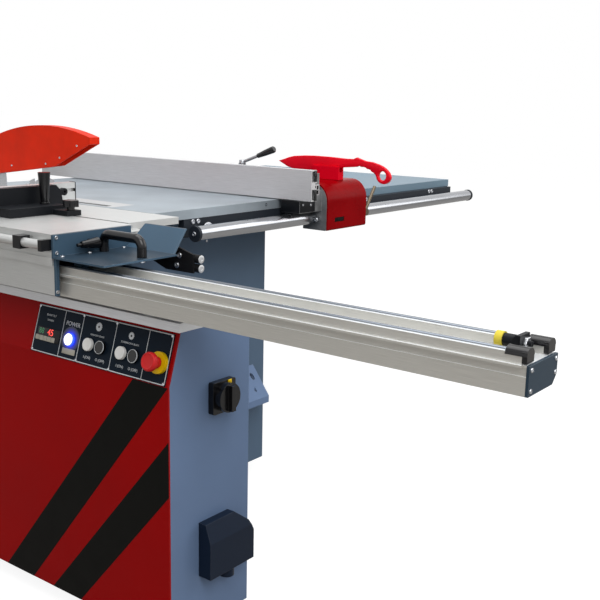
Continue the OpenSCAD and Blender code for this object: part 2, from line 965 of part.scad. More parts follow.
module rail_bar() {
    color("black") place() {
        slab([rail_left, rail_x1 - bar_h], [-table_d / 2, -table_d / 2 + bar_t], [cab_top - bar_h, cab_top]);
        for (s = stud_shares)
            rod_along_y(rail_left + rail_l * s, [rail_y + rail_d / 2 - stud_sink, -table_d / 2], rail_z, stud_d);
        for (x = [rail_left - rail_cap_t, rail_x1])
            rod_along_x([x, x + rail_cap_t], rail_y, rail_z, rail_d + 2 * rail_cap_lip);
    }
}

module fence_rail() {
    color("white") place() difference() {
        rod_along_x([rail_left, rail_x1], rail_y, rail_z, rail_d);
        rod_along_x([rail_left - over, rail_x1 + over], rail_y, rail_z, rail_d - 2 * rail_wall);
        for (s = stud_shares)
            rod_along_y(rail_left + rail_l * s, [rail_y, rail_y + rail_d], rail_z, stud_d + 2 * run_fit);
    }
}

// Base and cabinet

module base_outline(inset) {
    polygon([
        [base_x0 + inset, foot_h + inset], [base_x1 - inset, foot_h + inset],
        [base_x1 - inset, base_h - inset], [base_x0 + lean_in + inset, base_h - inset],
        [base_x0 + inset, fold_h]
    ]);
}

module left_base() {
    color("lightsteelblue") place() difference() {
        along_y([-base_y, base_y]) base_outline(0);
        along_y([-base_y + sheet_t, base_y - sheet_t]) base_outline(sheet_t);
        slab([base_x1 - well_reach, base_x1 + over], [-well_front, well_back], [well_low, base_h + over]);
        panel_blank();
    }
}

module side_panel() {
    color("firebrick") place() difference() {
        along_y([-base_y, base_y]) polygon([
            [base_x0, foot_h], [base_x0, fold_h], [base_x0 + lean_in, base_h],
            [base_x0 + lean_in - side_out, base_h], [base_x0 - side_out, fold_h], [base_x0 - side_out, foot_h]
        ]);
        panel_blank();
    }
}

module cabinet_outline(inset) {
    polygon([
        [base_x1 + inset, cab_foot_h + inset], [cab_right - inset, cab_foot_h + inset],
        [cab_right - inset, cab_top + (inset > 0 ? over : 0)],
        [-table_left + inset, cab_top + (inset > 0 ? over : 0)],
        [-table_left + inset, cab_shoulder - inset], [base_x1 + inset, cab_shoulder - inset]
    ]);
}

module main_cabinet() {
    color("slategray") place() {
        difference() {
            along_y([-cab_y, cab_y]) cabinet_outline(0);
            along_y([-cab_y + sheet_t, cab_y - sheet_t]) cabinet_outline(sheet_t);
            slab([base_x1 - over, base_x1 + sheet_t + over], [-well_front, well_back], [well_low, cab_shoulder - sheet_t]);
            slab([base_x1 - over, over - table_left + sheet_t], [-well_front, well_back],
                 [cab_shoulder - sheet_t - over, cab_top + over]);
            rod_along_y(port_x, [cab_y - sheet_t - over, cab_y + over], port_z, port_d - 2 * port_wall);
            slab([cab_right - sheet_t - over, cab_right + over], [-door_w / 2 + door_lap, door_w / 2 - door_lap],
                 [door_z0 + door_lap, door_z0 + door_h - door_lap]);
        }
        // hinge pins with a lug below each one
        for (s = knuckle_shares) {
            rod_along_z(cab_right + door_gap + knuckle_d / 2, door_w / 2 + knuckle_d,
                        [door_z0 + door_h * s - knuckle_l / 2 - lug_h, door_z0 + door_h * s + knuckle_l / 2], pin_d);
            slab([cab_right, cab_right + door_gap + knuckle_d], [door_w / 2 + knuckle_d / 2, door_w / 2 + knuckle_d * 1.5],
                 [door_z0 + door_h * s - knuckle_l / 2 - lug_h, door_z0 + door_h * s - knuckle_l / 2 - slip]);
        }
        difference() {
            rod_along_y(port_x, [cab_y, cab_y + port_l], port_z, port_d);
            rod_along_y(port_x, [cab_y - over, cab_y + port_l + over], port_z, port_d - 2 * port_wall);
        }
    }
}

// The door covers an opening in the cabinet's right side and swings on two pins
module service_door() {
    hinge_x = cab_right + door_gap + knuckle_d / 2;
    hinge_y = door_w / 2 + knuckle_d;
    face = cab_right + door_gap;
    color("slategray") place() difference() {
        union() {
            slab([face, face + door_t], [-door_w / 2, door_w / 2], [door_z0, door_z0 + door_h]);
            for (s = knuckle_shares) {
                knuckle = [door_z0 + door_h * s - knuckle_l / 2, door_z0 + door_h * s + knuckle_l / 2];
                rod_along_z(hinge_x, hinge_y, knuckle, knuckle_d);
                slab([face, face + door_t], [door_w / 2, hinge_y], knuckle);
            }
            translate([face + door_t, -door_w / 2 + door_knob_d, door_z0 + door_h / 2]) rotate([0, 90, 0])
                cylinder(h = door_knob_h, d = door_knob_d);
        }
        for (s = knuckle_shares)
            rod_along_z(hinge_x, hinge_y, [door_z0 + door_h * s - knuckle_l, door_z0 + door_h * s + knuckle_l],
                        pin_d + 2 * run_fit);
    }
}

module foot(x, y, top) {
    rod_along_z(x, y, [0, foot_pad_h], foot_d);
    rod_along_z(x, y, [foot_pad_h, top], foot_stem_d);
}

module feet() {
    color("black") place() {
        for (s = base_foot_shares, x = [base_x0 + foot_d, base_x1 - foot_d]) foot(x, base_l * s, foot_h);
        for (y = [-cab_y + foot_d, cab_y - foot_d]) foot(cab_right - foot_d, y, cab_foot_h);
    }
}

// Front and side fittings

module on_row(share, rise) {
    on_panel(along_panel(share), row_up) translate([0, 0, rise]) children();
}

module control_panel() {
    color("midnightblue") place() difference() {
        union() {
            panel_blank();
            for (s = button_shares) on_row(s, ctrl_t) cylinder(h = bezel_h, d = bezel_d);
            on_row(lamp_share, ctrl_t) cylinder(h = lamp_rise, d = lamp_d);
        }
        for (s = button_shares) on_row(s, hole_floor) cylinder(h = ctrl_t + bezel_h, d = button_d + 2 * slip);
        on_row(stop_share, hole_floor) cylinder(h = ctrl_t, d = stop_stem_d + 2 * slip);
    }
}

module push_button(share) {
    on_row(share, hole_floor + button_travel + slip)
        cylinder(h = ctrl_t - hole_floor + bezel_h + button_rise - button_travel, d = button_d);
}

module start_button() { color("white") place() push_button(button_shares[0]); }
module stop_button() { color("black") place() push_button(button_shares[1]); }
module scoring_start_button() { color("white") place() push_button(button_shares[2]); }
module scoring_stop_button() { color("black") place() push_button(button_shares[3]); }

module estop_collar() {
    color("gold") place() on_row(stop_share, ctrl_t) difference() {
        cylinder(h = collar_h, d = collar_d);
        translate([0, 0, -over]) cylinder(h = collar_h + 2 * over, d = stop_stem_d + 2 * slip);
    }
}

module estop_button() {
    color("red") place() {
        on_row(stop_share, hole_floor + button_travel + slip)
            cylinder(h = ctrl_t + collar_h + stop_gap - hole_floor - button_travel - slip, d = stop_stem_d);
        on_row(stop_share, ctrl_t + collar_h + stop_gap) {
            cylinder(h = stop_head_h * 0.6, d = stop_d);
            translate([0, 0, stop_head_h * 0.6]) cylinder(h = stop_head_h * 0.4, d1 = stop_d, d2 = stop_d * 0.72);
        }
    }
}

module switch_plate() {
    color("black") place() along_y([-base_y - switch_plate_t, -base_y])
        soft_patch([switch_x - switch_w / 2, switch_x + switch_w / 2],
                   [switch_z - switch_w / 2, switch_z + switch_w / 2], switch_w * 0.07);
}

module switch_knob() {
    color("black") place() {
        rod_along_y(switch_x, [-base_y - switch_plate_t - slip - switch_knob_t, -base_y - switch_plate_t - slip],
                    switch_z, switch_d);
        slab([switch_x - switch_grip_w / 2, switch_x + switch_grip_w / 2],
             [-base_y - switch_plate_t - slip - switch_knob_t - switch_grip_t,
              -base_y - switch_plate_t - slip - switch_knob_t],
             [switch_z - switch_d * 0.44, switch_z + switch_d * 0.44]);
    }
}

// A hood with a sloping front and cut corners over the cable gland
module power_inlet() {
    x1 = inlet_x0 + inlet_w;
    z0 = inlet_z1 - inlet_h;
    color("darkslateblue") place() difference() {
        union() {
            intersection() {
                along_y([-base_y - inlet_d, -base_y]) polygon([
                    [inlet_x0, z0], [x1, z0], [x1, inlet_z1 - inlet_cut_h[0]],
                    [x1 - inlet_cut_w[0], inlet_z1 - inlet_cut_h[1]], [x1 - inlet_cut_w[1], inlet_z1], [inlet_x0, inlet_z1]
                ]);
                along_x([inlet_x0 - over, x1 + over]) polygon([
                    [-base_y, z0], [-base_y - inlet_d, z0], [-base_y - inlet_d, inlet_z1 - inlet_slope],
                    [-base_y - inlet_hood, inlet_z1], [-base_y, inlet_z1]
                ]);
            }
            rod_along_z(inlet_x0 + inlet_w / 2, -base_y - inlet_d / 2, [z0 - inlet_gland_h, z0], inlet_gland_d);
        }
        rod_along_z(inlet_x0 + inlet_w / 2, -base_y - inlet_d / 2, [z0 - inlet_gland_h - over, z0], inlet_bore_d);
    }
}

module tool_bracket() {
    low = bracket_top - bracket_drop - bracket_lip;
    color("lightsteelblue") place() difference() {
        along_x([bracket_x0, bracket_x0 + bracket_w]) polygon([
            [-cab_y, bracket_top], [-cab_y - bracket_reach, bracket_top - bracket_drop],
            [-cab_y - bracket_reach, low], [-cab_y - bracket_reach + bracket_t, low],
            [-cab_y - bracket_reach + bracket_t, bracket_top - bracket_drop - bracket_t],
            [-cab_y - bracket_t, bracket_top - bracket_t * 2], [-cab_y - bracket_t, low], [-cab_y, low]
        ]);
        for (i = [0, 1])
            rod_along_z(bracket_x0 + bracket_w * bracket_hole_x_shares[i], -cab_y - bracket_reach * bracket_hole_y_shares[i],
                        [low, bracket_top], bracket_hole_ds[i]);
    }
}

// Carriage

module carriage_profile() {
    difference() {
        union() {
            patch([carriage_x0, tslot_x0], [carriage_z, table_h]);
            patch([carriage_x0, skirt_x0], [table_h - skirt_upper_h, carriage_z]);
            patch([skirt_x0, skirt_x0 + skirt_t], [end_low, table_h - skirt_upper_h + skirt_lap]);
            patch([skirt_x0 - over, skirt_x0 + skirt_t],
                  [table_h - skirt_upper_h, table_h - skirt_upper_h + skirt_lap]);
            patch([right_leg_x0, right_leg_x0 + skirt_t], [right_leg_z, carriage_z]);
            patch([tslot_x0 - tslot_wall, tslot_x0], [strip_z - strip_seat_t, carriage_z]);
            patch([tslot_x0 - tslot_wall, tslot_x0 + strip_seat_w], [strip_z - strip_seat_t, strip_z]);
            for (x = rod_xs) patch([x - hanger_w / 2, x + hanger_w / 2], [upper_rod_z, carriage_z]);
        }
        for (s = groove_shares)
            patch([carriage_x0 - over, carriage_x0 + groove_depth],
                  [table_h - skirt_upper_h * s - groove_h / 2, table_h - skirt_upper_h * s + groove_h / 2]);
        for (x = rod_xs) translate([x, upper_rod_z]) circle(d = rod_d + 2 * run_fit);
        patch([tslot_x0 - tslot_groove, tslot_x0 + over], [strip_z, table_h - tslot_lip]);
    }
}

module carriage_table() {
    color("whitesmoke") place() {
        along_y([carriage_y0, carriage_y1]) carriage_profile();
        for (x = rod_xs) rod_along_y(x, [carriage_y0, carriage_y1], upper_rod_z, rod_d + 2 * run_fit);
    }
}

module carriage_strip() {
    color("whitesmoke") place() along_y([carriage_y0 + strip_setback, carriage_y1 - strip_setback])
        difference() {
            patch([tslot_x1, strip_x1], [strip_z, table_h]);
            patch([tslot_x1 - over, tslot_x1 + tslot_groove], [strip_z - over, table_h - tslot_lip]);
        }
}

module end_plate_outline() {
    patch([carriage_x0, plate_right], [shelf_z, table_h - plate_drop]);
    patch([skirt_x0 - leg_lap, leg_x1], [end_low, shelf_z]);
    patch([rod_xs[0] + ridge_w / 2 + tongue_side, rod_xs[1] - ridge_w / 2 - tongue_side], [tongue_z, shelf_z]);
    patch([right_leg_x0, plate_right], [right_leg_z, shelf_z]);
}

module front_bracket() {
    color("steelblue") place() {
        along_y([carriage_y0 - plate_t, carriage_y0]) {
            end_plate_outline();
            patch([plate_right, notch_x1], [shelf_z, notch_z]);
        }
        slab([carriage_x0, gusset_x0 + plate_t], [carriage_y0 - plate_t - shelf_reach, carriage_y0 - plate_t],
             [shelf_z, shelf_z + shelf_t]);
        // leaning flange at the shelf's right edge
        intersection() {
            along_y([carriage_y0 - plate_t - shelf_reach, carriage_y0 - plate_t]) polygon([
                [gusset_x0, shelf_z], [gusset_x0 + plate_t, shelf_z],
                [gusset_x0 + gusset_lean + plate_t, table_h], [gusset_x0 + gusset_lean, table_h]
            ]);
            along_x([gusset_x0, notch_x1 + gusset_lean]) polygon([
                [carriage_y0, shelf_z], [carriage_y0 - plate_t - gusset_foot, shelf_z],
                [carriage_y0 - plate_t - gusset_reach, table_h], [carriage_y0, table_h]
            ]);
        }
    }
}

module rear_plate() {
    color("steelblue") place() along_y([carriage_y1, carriage_y1 + plate_t]) end_plate_outline();
}

module push_handle() {
    top = shelf_z + shelf_t + handle_h - handle_d / 2;
    color("black") place() translate([handle_x, handle_y, 0]) rotate(90) {
        for (side = [-1, 1]) {
            rod_along_z(side * handle_span / 2, 0, [shelf_z + shelf_t, top - bend_r], handle_d);
            translate([side * (handle_span / 2 - bend_r), 0, top - bend_r]) rotate([90, 0, 0])
                rotate([0, 0, side > 0 ? 0 : 90]) rotate_extrude(angle = 90) translate([bend_r, 0]) circle(d = handle_d);
        }
        rod_along_x([-handle_span / 2 + bend_r, handle_span / 2 - bend_r], 0, top, handle_d);
    }
}

module carriage_buffers() {
    color("black") place() {
        along_x([notch_x1, notch_x1 + buffer_plate_t]) polygon([
            [carriage_y0, notch_z], [carriage_y0 - buffer_back * 0.5, notch_z],
            [carriage_y0 - plate_t - buffer_back - buffer_d, buffer_z + buffer_pitch * 0.5],
            [carriage_y0 - plate_t - buffer_back - buffer_d, buffer_z - buffer_pitch * 1.5],
            [carriage_y0 - buffer_back * 0.6, buffer_z - buffer_pitch * 1.5],
            [carriage_y0, buffer_z]
        ]);
        for (i = [0, 1])
            rod_along_y(notch_x1 + buffer_plate_t + buffer_d / 2 - buffer_sink,
                        [carriage_y0 - plate_t - buffer_back - buffer_l, carriage_y0 - plate_t - buffer_back],
                        buffer_z - buffer_pitch * i, buffer_d);
    }
}

module carriage_knob() {
    z = table_h - knob_drop;
    front = carriage_y0 - plate_t - slip;
    color("black") place() {
        rod_along_y(knob_x, [front - knob_hub_l, front], z, knob_hub_d);
        translate([knob_x + knob_lead, front - knob_hub_l, z]) rotate([0, -90, 0]) {
            cylinder(h = knob_grip_l, d1 = knob_grip_d, d2 = knob_end_d);
            cylinder(h = knob_grip_l + knob_tip_l, d = knob_tip_d);
        }
    }
}

module side_bar() {
    color("gainsboro") place()
        rod_along_y(side_bar_x, [carriage_y0 + bar_end_gap, carriage_y1], side_bar_z, side_bar_d);
}

module bar_brackets() {
    color("black") place() {
        for (s = bar_bracket_shares) difference() {
            slab([side_bar_x - bar_bracket_w / 2, carriage_x0],
                 [carriage_y0 + carriage_l * s - bar_bracket_l / 2, carriage_y0 + carriage_l * s + bar_bracket_l / 2],
                 [side_bar_z - side_bar_d * 0.7, side_bar_z + side_bar_d * 0.7]);
            rod_along_y(side_bar_x,
                        [carriage_y0 + carriage_l * s - bar_bracket_l, carriage_y0 + carriage_l * s + bar_bracket_l],
                        side_bar_z, side_bar_d + 2 * run_fit);
        }
        slab([side_bar_x - bar_bracket_w / 2, carriage_x0], [carriage_y0, carriage_y0 + bar_end_gap - slip],
             [side_bar_z - side_bar_d * 0.6, side_bar_z + side_bar_d * 0.6]);
    }
}

// Roller cage

module roller_cage() {
    pocket = roller_d + 2 * slip;
    color("dimgray") place() {
        difference() {
            union() {
                for (x = rod_xs)
                    slab([x - cage_row_w / 2, x + cage_row_w / 2], [cage_y0, cage_y1],
                         [roller_z - cage_t / 2, roller_z + cage_t / 2]);
                for (y = [cage_y0, cage_y1 - cage_bar_l])
                    slab([rod_xs[0], rod_xs[1]], [y, y + cage_bar_l], [roller_z - cage_t / 2, roller_z + cage_t / 2]);
            }
            for (x = rod_xs, y = roller_ys)
                slab([x - roller_w / 2 - slip, x + roller_w / 2 + slip], [y - pocket / 2, y + pocket / 2],
                     [roller_z - cage_t, roller_z + cage_t]);
        }
        for (x = rod_xs, y = roller_ys) {
            rod_along_x([x - roller_w / 2, x + roller_w / 2], y, roller_z, roller_d);
            rod_along_x([x - roller_w / 2 - slip - over, x + roller_w / 2 + slip + over], y, roller_z, roller_pin_d);
        }
    }
}

// Crosscut fence

module crosscut_base() {
    color("black") place() difference() {
        union() {
            slab([cross_base_x0, cross_base_x1], [cross_y0 - cross_base_d, cross_y0],
                 [cross_base_z, cross_base_z + cross_base_t]);
            slab([-tslot_x - cross_arm_w / 2, -tslot_x + cross_arm_w / 2],
                 [-pivot_front - cross_arm_reach, cross_y0 - cross_base_d + over],
                 [cross_base_z, cross_base_z + cross_arm_t]);
            along_y([cross_y0 - cross_block_t, cross_y0]) polygon([
                [cross_base_x0, cross_base_z + over], [cross_block_x1, cross_base_z + over],
                [cross_block_x1 - cross_block_cut / 2, cross_base_z + cross_base_t + cross_block_h - cross_block_cut],
                [cross_block_x1 - cross_block_cut * 1.5, cross_base_z + cross_base_t + cross_block_h],
                [cross_base_x0, cross_base_z + cross_base_t + cross_block_h]
            ]);
        }
        rod_along_z(-tslot_x, -pivot_front, [cross_base_z - over, cross_base_z + cross_arm_t + over],
                    star_stud_d + 2 * run_fit);
        rod_along_z(clamp_x, cross_y0 - cross_block_t - clamp_gap,
                    [cross_base_z + over, cross_base_z + cross_base_t + over], clamp_stud_d + 2 * run_fit);
    }
}

module crosscut_fence() {
    color("white") place() along_x([cross_x0, cross_x1]) difference() {
        patch([cross_y0, cross_y0 + cross_t], [cross_z0, cross_z0 + cross_h]);
        patch([cross_y0 - over, cross_y0 + cross_groove_d],
              [cross_z0 + cross_h * 0.66 - cross_groove_w / 2, cross_z0 + cross_h * 0.66 + cross_groove_w / 2]);
        patch([cross_y0 + cross_wall, cross_y0 + cross_t - cross_wall],
              [cross_z0 + cross_wall, cross_z0 + cross_h * 0.66 - cross_groove_w / 2 - cross_wall]);
        patch([cross_y0 + cross_groove_d + cross_wall, cross_y0 + cross_t - cross_wall],
              [cross_z0 + cross_h * 0.66, cross_z0 + cross_h - cross_wall]);
    }
}

module crosscut_handle() {
    base = cross_base_z + cross_base_t + slip;
    color("black") place() translate([clamp_x, cross_y0 - cross_block_t - clamp_gap, 0]) {
        rod_along_z(0, 0, [cross_base_z + over + slip, base], clamp_stud_d);
        rod_along_z(0, 0, [base, base + clamp_collar_h], clamp_collar_d);
        translate([0, 0, base + clamp_collar_h]) cylinder(h = clamp_h, d1 = clamp_low_d, d2 = clamp_high_d);
    }
}

module star_knob() {
    base = cross_base_z + cross_arm_t + slip;
    color("black") place() translate([-tslot_x, -pivot_front, 0]) {
        rod_along_z(0, 0, [table_h - star_stud_l, base], star_stud_d);
        rod_along_z(0, 0, [base, base + star_neck_h], star_neck_d);
        rod_along_z(0, 0, [base + star_neck_h, base + star_neck_h + star_h], star_d - star_lobe_d * 0.6);
        for (i = [0:star_lobes - 1]) rotate(i * 360 / star_lobes)
            rod_along_z((star_d - star_lobe_d) / 2, 0, [base + star_neck_h, base + star_neck_h + star_h], star_lobe_d);
    }
}

// Rip fence

module fence_plate() {
    inner_z = [rip_z0 + rip_wall, carrier_tongue_z - carrier_tongue_h / 2 - slip - rip_wall];
    color("gainsboro") place() along_y([rip_y0, rip_y1]) difference() {
        patch([rip_x, rip_x1], [rip_z0, rip_z0 + rip_h]);
        patch([rip_x + rip_wall, rip_x1 - rip_wall], inner_z);
        patch([rip_x + rip_wall, rip_x1 - rip_wall],
              [carrier_tongue_z + carrier_tongue_h / 2 + slip + rip_wall, rip_z0 + rip_h - rip_wall]);
        patch([rip_x1 - carrier_tongue_d - slip, rip_x1 + over],
              [carrier_tongue_z - carrier_tongue_h / 2 - slip, carrier_tongue_z + carrier_tongue_h / 2 + slip]);
    }
}

// Side outline of the head: upright front, large round at the top, square back
module head_outline(y, z, r, low_r) {
    patch([y[0], y[1]], [z[0] + low_r, z[1] - r]);
    patch([y[0] + low_r, y[1]], [z[0], z[1] - r]);
    patch([y[0] + r, y[1]], [z[0], z[1]]);
    intersection() {
        translate([y[0] + r, z[1] - r]) circle(r = r, $fn = 96);
        patch([y[0], y[0] + r], [z[1] - r, z[1]]);
    }
    translate([y[0] + low_r, z[0] + low_r]) circle(r = low_r);
}

module fence_head() {
    side = rip_x1 + slip;
    color("dimgray") place() difference() {
        union() {
            along_x([head_x0, head_x1])
                head_outline([cast_y0, head_y1], [head_z0, cast_z1], cover_r - cover_wall + seam, cover_lip_r);
            slab([side, head_x0 + over], [head_y0, head_y1], [bridge_z0, head_z1 + bridge_rise]);
            slab([rip_x + bridge_in, side + over], [head_y0, head_y1], [bridge_z0, rip_z0 - bridge_gap]);
            slab([side, side + carrier_t], [head_y0, -carrier_back], [carrier_z0, carrier_z1]);
            slab([side - carrier_tongue_d, side], [head_y0, -carrier_back],
                 [carrier_tongue_z - carrier_tongue_h / 2, carrier_tongue_z + carrier_tongue_h / 2]);
            rod_along_z(side + carrier_t / 2, clamp_lever_y, [carrier_z1, carrier_z1 + clamp_boss_h], clamp_boss_d);
            rod_along_y(lock_x, [head_y0, head_y0 + head_wall], lock_z, lock_hub_d);
            slab([head_x1 - over, lock_x], [head_y0, head_y0 + head_wall],
                 [lock_z - lock_hub_d / 2, lock_z + lock_hub_d / 2]);
        }
        rod_along_x([head_x0 - over, lock_x + lock_hub_d], rail_y, rail_z, rail_d + 2 * run_fit);
        // slit behind the rail lets the head pass the rail's studs
        slab([head_x0 - over, head_x1 + over], [rail_y, head_y1 + over],
             [rail_z - stud_d / 2 - over, rail_z + stud_d / 2 + over]);
    }
}

module fence_cover() {
    color("crimson") place() {
        difference() {
            along_x([head_x0, head_x1]) difference() {
                head_outline([cover_y0, cover_y1], [head_z0, cover_z1], cover_r, cover_lip_r);
                head_outline([cover_y0 + cover_wall, cover_y1 + over], [head_z0 - cover_r, cover_z1 - cover_wall],
                             cover_r - cover_wall, cover_lip_r);
            }
            slab([head_x0 + window_in, head_x0 + window_in + window_w], [cover_y0 - over, cover_y0 + cover_wall + over],
                 [window_z, window_z + window_h]);
        }
        difference() {
            slab([stick_x - holder_t / 2, stick_x + holder_t / 2], [holder_y0, holder_y0 + holder_l],
                 [cover_z1 - cover_wall, holder_z1]);
            slab([stick_x - stick_t / 2 - slip, stick_x + stick_t / 2 + slip],
                 [holder_y0 - over, holder_y0 + holder_l + over], [cover_z1 + holder_floor, holder_z1 + over]);
        }
    }
}

module fence_lock_lever() {
    color("white") place() translate([lock_x, head_y0 - slip, lock_z]) {
        rod_along_y(0, [-lock_hub_l, 0], 0, lock_hub_d);
        rotate([0, lock_lean, 0]) rod_along_z(0, -lock_hub_l / 2, [0, lock_rod_l], lock_rod_d);
    }
}

module fence_clamp_lever() {
    base = carrier_z1 + clamp_boss_h + slip;
    color("black") place() translate([rip_x1 + slip + carrier_t / 2, clamp_lever_y, base]) {
        rod_along_z(0, 0, [0, clamp_hub_h], clamp_boss_d);
        translate([0, 0, clamp_hub_h / 2]) rotate([90 - clamp_lean, 0, 0]) {
            cylinder(h = clamp_rod_l, d = clamp_rod_d);
            translate([0, 0, clamp_rod_l]) cylinder(h = clamp_grip_l, d1 = clamp_rod_d * 1.4, d2 = clamp_grip_d);
        }
    }
}

module push_stick() {
    color("crimson") place() translate([0, stick_y, stick_z])
        along_x([stick_x - stick_t / 2, stick_x + stick_t / 2]) difference() {
            polygon([for (p = stick_shares) [-p[0] * stick_l, p[1] * stick_h]]);
            translate([-stick_hole_shares[0] * stick_l, stick_hole_shares[1] * stick_h]) circle(d = stick_hole_d);
        }
}

// Saw unit

// A wedge between two angles in the X and Z plane, centred on the tilt axis
module wedge(from, to, r) {
    polygon([[0, 0], [r * cos(from), r * sin(from)], [r * 1.5 * cos((from + to) / 2), r * 1.5 * sin((from + to) / 2)],
             [r * cos(to), r * sin(to)]]);
}

module arc_band(r0, r1, from, to) {
    intersection() {
        difference() {
            circle(r = r1, $fn = 96);
            circle(r = r0, $fn = 96);
        }
        wedge(from, to, r1 * 2);
    }
}

module trunnions() {
    color("dimgray") place() both_ends() translate([0, 0, table_h]) {
        along_y([arc_y0, arc_y1]) arc_band(arc_r0, arc_r1, arc_from, arc_to);
        along_y([arc_y1, hang_y1]) patch([-table_left + sheet_t, arc_r1 + shoe_t], [-arc_r1 - shoe_t, -table_rib_h]);
    }
}

module tilt_frame() {
    color("gray") place() {
        both_ends() {
            along_y([end_y, end_y + end_t]) polygon([
                [end_x0, table_h - end_top], [end_x1, table_h - end_top], [end_x1, table_h - end_low_drop],
                [end_x0 + end_cut, table_h - end_low_drop], [end_x0, table_h - end_low_drop + end_cut]
            ]);
            translate([0, 0, table_h]) along_y([end_y + end_t, arc_y1 - shoe_back]) {
                arc_band(arc_r1 + shoe_gap, arc_r1 + shoe_t, shoe_from, shoe_to);
                arc_band(arc_r0 - shoe_t, arc_r0 - shoe_gap, shoe_from, shoe_to);
            }
        }
        for (drop = tie_drops) rod_along_y(tie_x, [-end_y, end_y], table_h - drop, tie_d);
        slab([stand_x0, stand_x1], [stand_y0, stand_y1], [table_h - post_low - stand_lug_t, table_h - post_top]);
        for (top = [post_top, post_low])
            slab([stand_x0, post_xs[1] + post_d], [stand_y1, lug_y1],
                 [table_h - top - stand_lug_t, table_h - top]);
        for (x = post_xs)
            rod_along_z(x, post_y, [table_h - post_low, table_h - post_top - stand_lug_t], post_d);
        slab([score_body_x0 + score_lug_w, score_body_x0 + 2 * score_lug_w], [-score_front + score_body_d / 2 + score_arm_gap, stand_y0],
             [score_z - score_body_d / 4, score_z + score_body_d / 4]);
    }
}

module arbor_block() {
    color("dimgray") place() difference() {
        union() {
            rod_along_x([block_x0, block_x1], 0, arbor_z, block_d);
            slab([block_x0 + block_arm_in, block_x1], [arm_y1 - over, 0], [arbor_z - arm_h / 2, arbor_z]);
            slab([block_x0 + block_arm_in, wall_x0], [arm_y0, arm_y1], [arbor_z - arm_h / 2, arbor_z + arm_h / 2]);
            slab([wall_x0, wall_x0 + wall_t], [arm_y0, motor_y + motor_d / 2],
                 [motor_z - motor_d / 2, arbor_z + arm_h / 2]);
            // foot of the riving knife
            slab([block_x0, block_x0 + knife_arm_t], [arbor_d, knife_y0 + knife_pad_w],
                 [arbor_z - knife_foot_h, arbor_z - knife_foot_h + knife_pad_h]);
            slab([knife_t / 2, block_x0], [knife_y0, knife_y0 + knife_pad_w],
                 [arbor_z - knife_foot_h, arbor_z - knife_foot_h + knife_pad_h]);
        }
        rod_along_x([block_x0 - over, block_x1 + over], 0, arbor_z, arbor_d + 2 * run_fit);
        for (x = post_xs)
            rod_along_z(x, post_y, [arbor_z - arm_h, arbor_z + arm_h], post_d + 2 * run_fit);
        rod_along_x([wall_x0 - over, wall_x0 + wall_t + over], motor_y, motor_z, motor_shaft_d + 2 * slip);
    }
}

module main_motor() {
    color("slategray") place() difference() {
        rod_along_x([wall_x0 + wall_t, motor_x0 + motor_l], motor_y, motor_z, motor_d);
        rod_along_x([wall_x0, motor_x0 + motor_l * 0.5 + slip], motor_y, motor_z, motor_shaft_d + 2 * run_fit);
    }
}

module motor_pulley() {
    color("gray") place() {
        rod_along_x([pulley_x0, pulley_x1], motor_y, motor_z, motor_pulley_d);
        rod_along_x([pulley_x0, motor_x0 + motor_l * 0.5], motor_y, motor_z, motor_shaft_d);
    }
}

// The belt's path: an arc round each pulley, joined by two straight runs
function arc_points(middle, r, from, to) =
    [for (i = [0:belt_steps]) middle + r * [cos(from + (to - from) * i / belt_steps), sin(from + (to - from) * i / belt_steps)]];

module belt_path(grow) {
    r0 = pulley_d / 2 + grow;
    r1 = motor_pulley_d / 2 + grow;
    away = [motor_y, motor_z - arbor_z];
    way = atan2(away[1], away[0]);
    spread = asin((r1 - r0) / norm(away));
    translate([0, arbor_z]) polygon(concat(
        arc_points([0, 0], r0, way + 90 + spread, way + 270 - spread),
        arc_points(away, r1, way - 90 - spread, way + 90 + spread)
    ));
}

module drive_belt() {
    color("black") place() along_x([pulley_x0 + over, pulley_x1 - over]) difference() {
        belt_path(slip + belt_t);
        belt_path(slip);
    }
}

module saw_arbor() {
    color("silver") place() {
        rod_along_x([-blade_t / 2 - flange_t - nut_t, arbor_tail], 0, arbor_z, arbor_d);
        rod_along_x([blade_t / 2, blade_t / 2 + flange_t], 0, arbor_z, flange_d);
        rod_along_x([-blade_t / 2 - flange_t, -blade_t / 2], 0, arbor_z, flange_d);
        rod_along_x([-blade_t / 2 - flange_t - nut_t, -blade_t / 2 - flange_t], 0, arbor_z, nut_d);
        rod_along_x([pulley_x0, pulley_x1], 0, arbor_z, pulley_d);
    }
}

// A toothed disc: each gullet is a notch in the rim
module toothed_disc(d, count, bore) {
    difference() {
        circle(d = d, $fn = 96);
        circle(d = bore);
        for (i = [0:count - 1]) rotate(i * 360 / count)
            polygon([
                [d / 2 - tooth_depth, 0], [d / 2 + over, 0],
                [d / 2 + over, tooth_gap_share * d * PI / count], [d / 2 - tooth_depth * 0.6, tooth_gap_share * d * PI / count]
            ]);
    }
}

module main_blade() {
    color("silver") place() translate([0, 0, arbor_z]) along_x([-blade_t / 2, blade_t / 2])
        toothed_disc(blade_d, teeth, arbor_d + 2 * run_fit);
}

module scoring_motor() {
    color("slategray") place() difference() {
        rod_along_x([score_body_x0, score_body_x1], -score_front, score_z, score_body_d);
        rod_along_x([score_body_x0 - over, score_body_x0 + score_lug_w], -score_front, score_z, score_shaft_d + 2 * run_fit);
    }
}

module scoring_blade() {
    color("silver") place() {
        rod_along_x([-blade_t, score_body_x0 + score_lug_w - slip], -score_front, score_z, score_shaft_d);
        translate([0, -score_front, score_z]) along_x([-blade_t / 2, blade_t / 2])
            toothed_disc(score_d, teeth / 2, score_shaft_d - 2 * run_fit);
    }
}

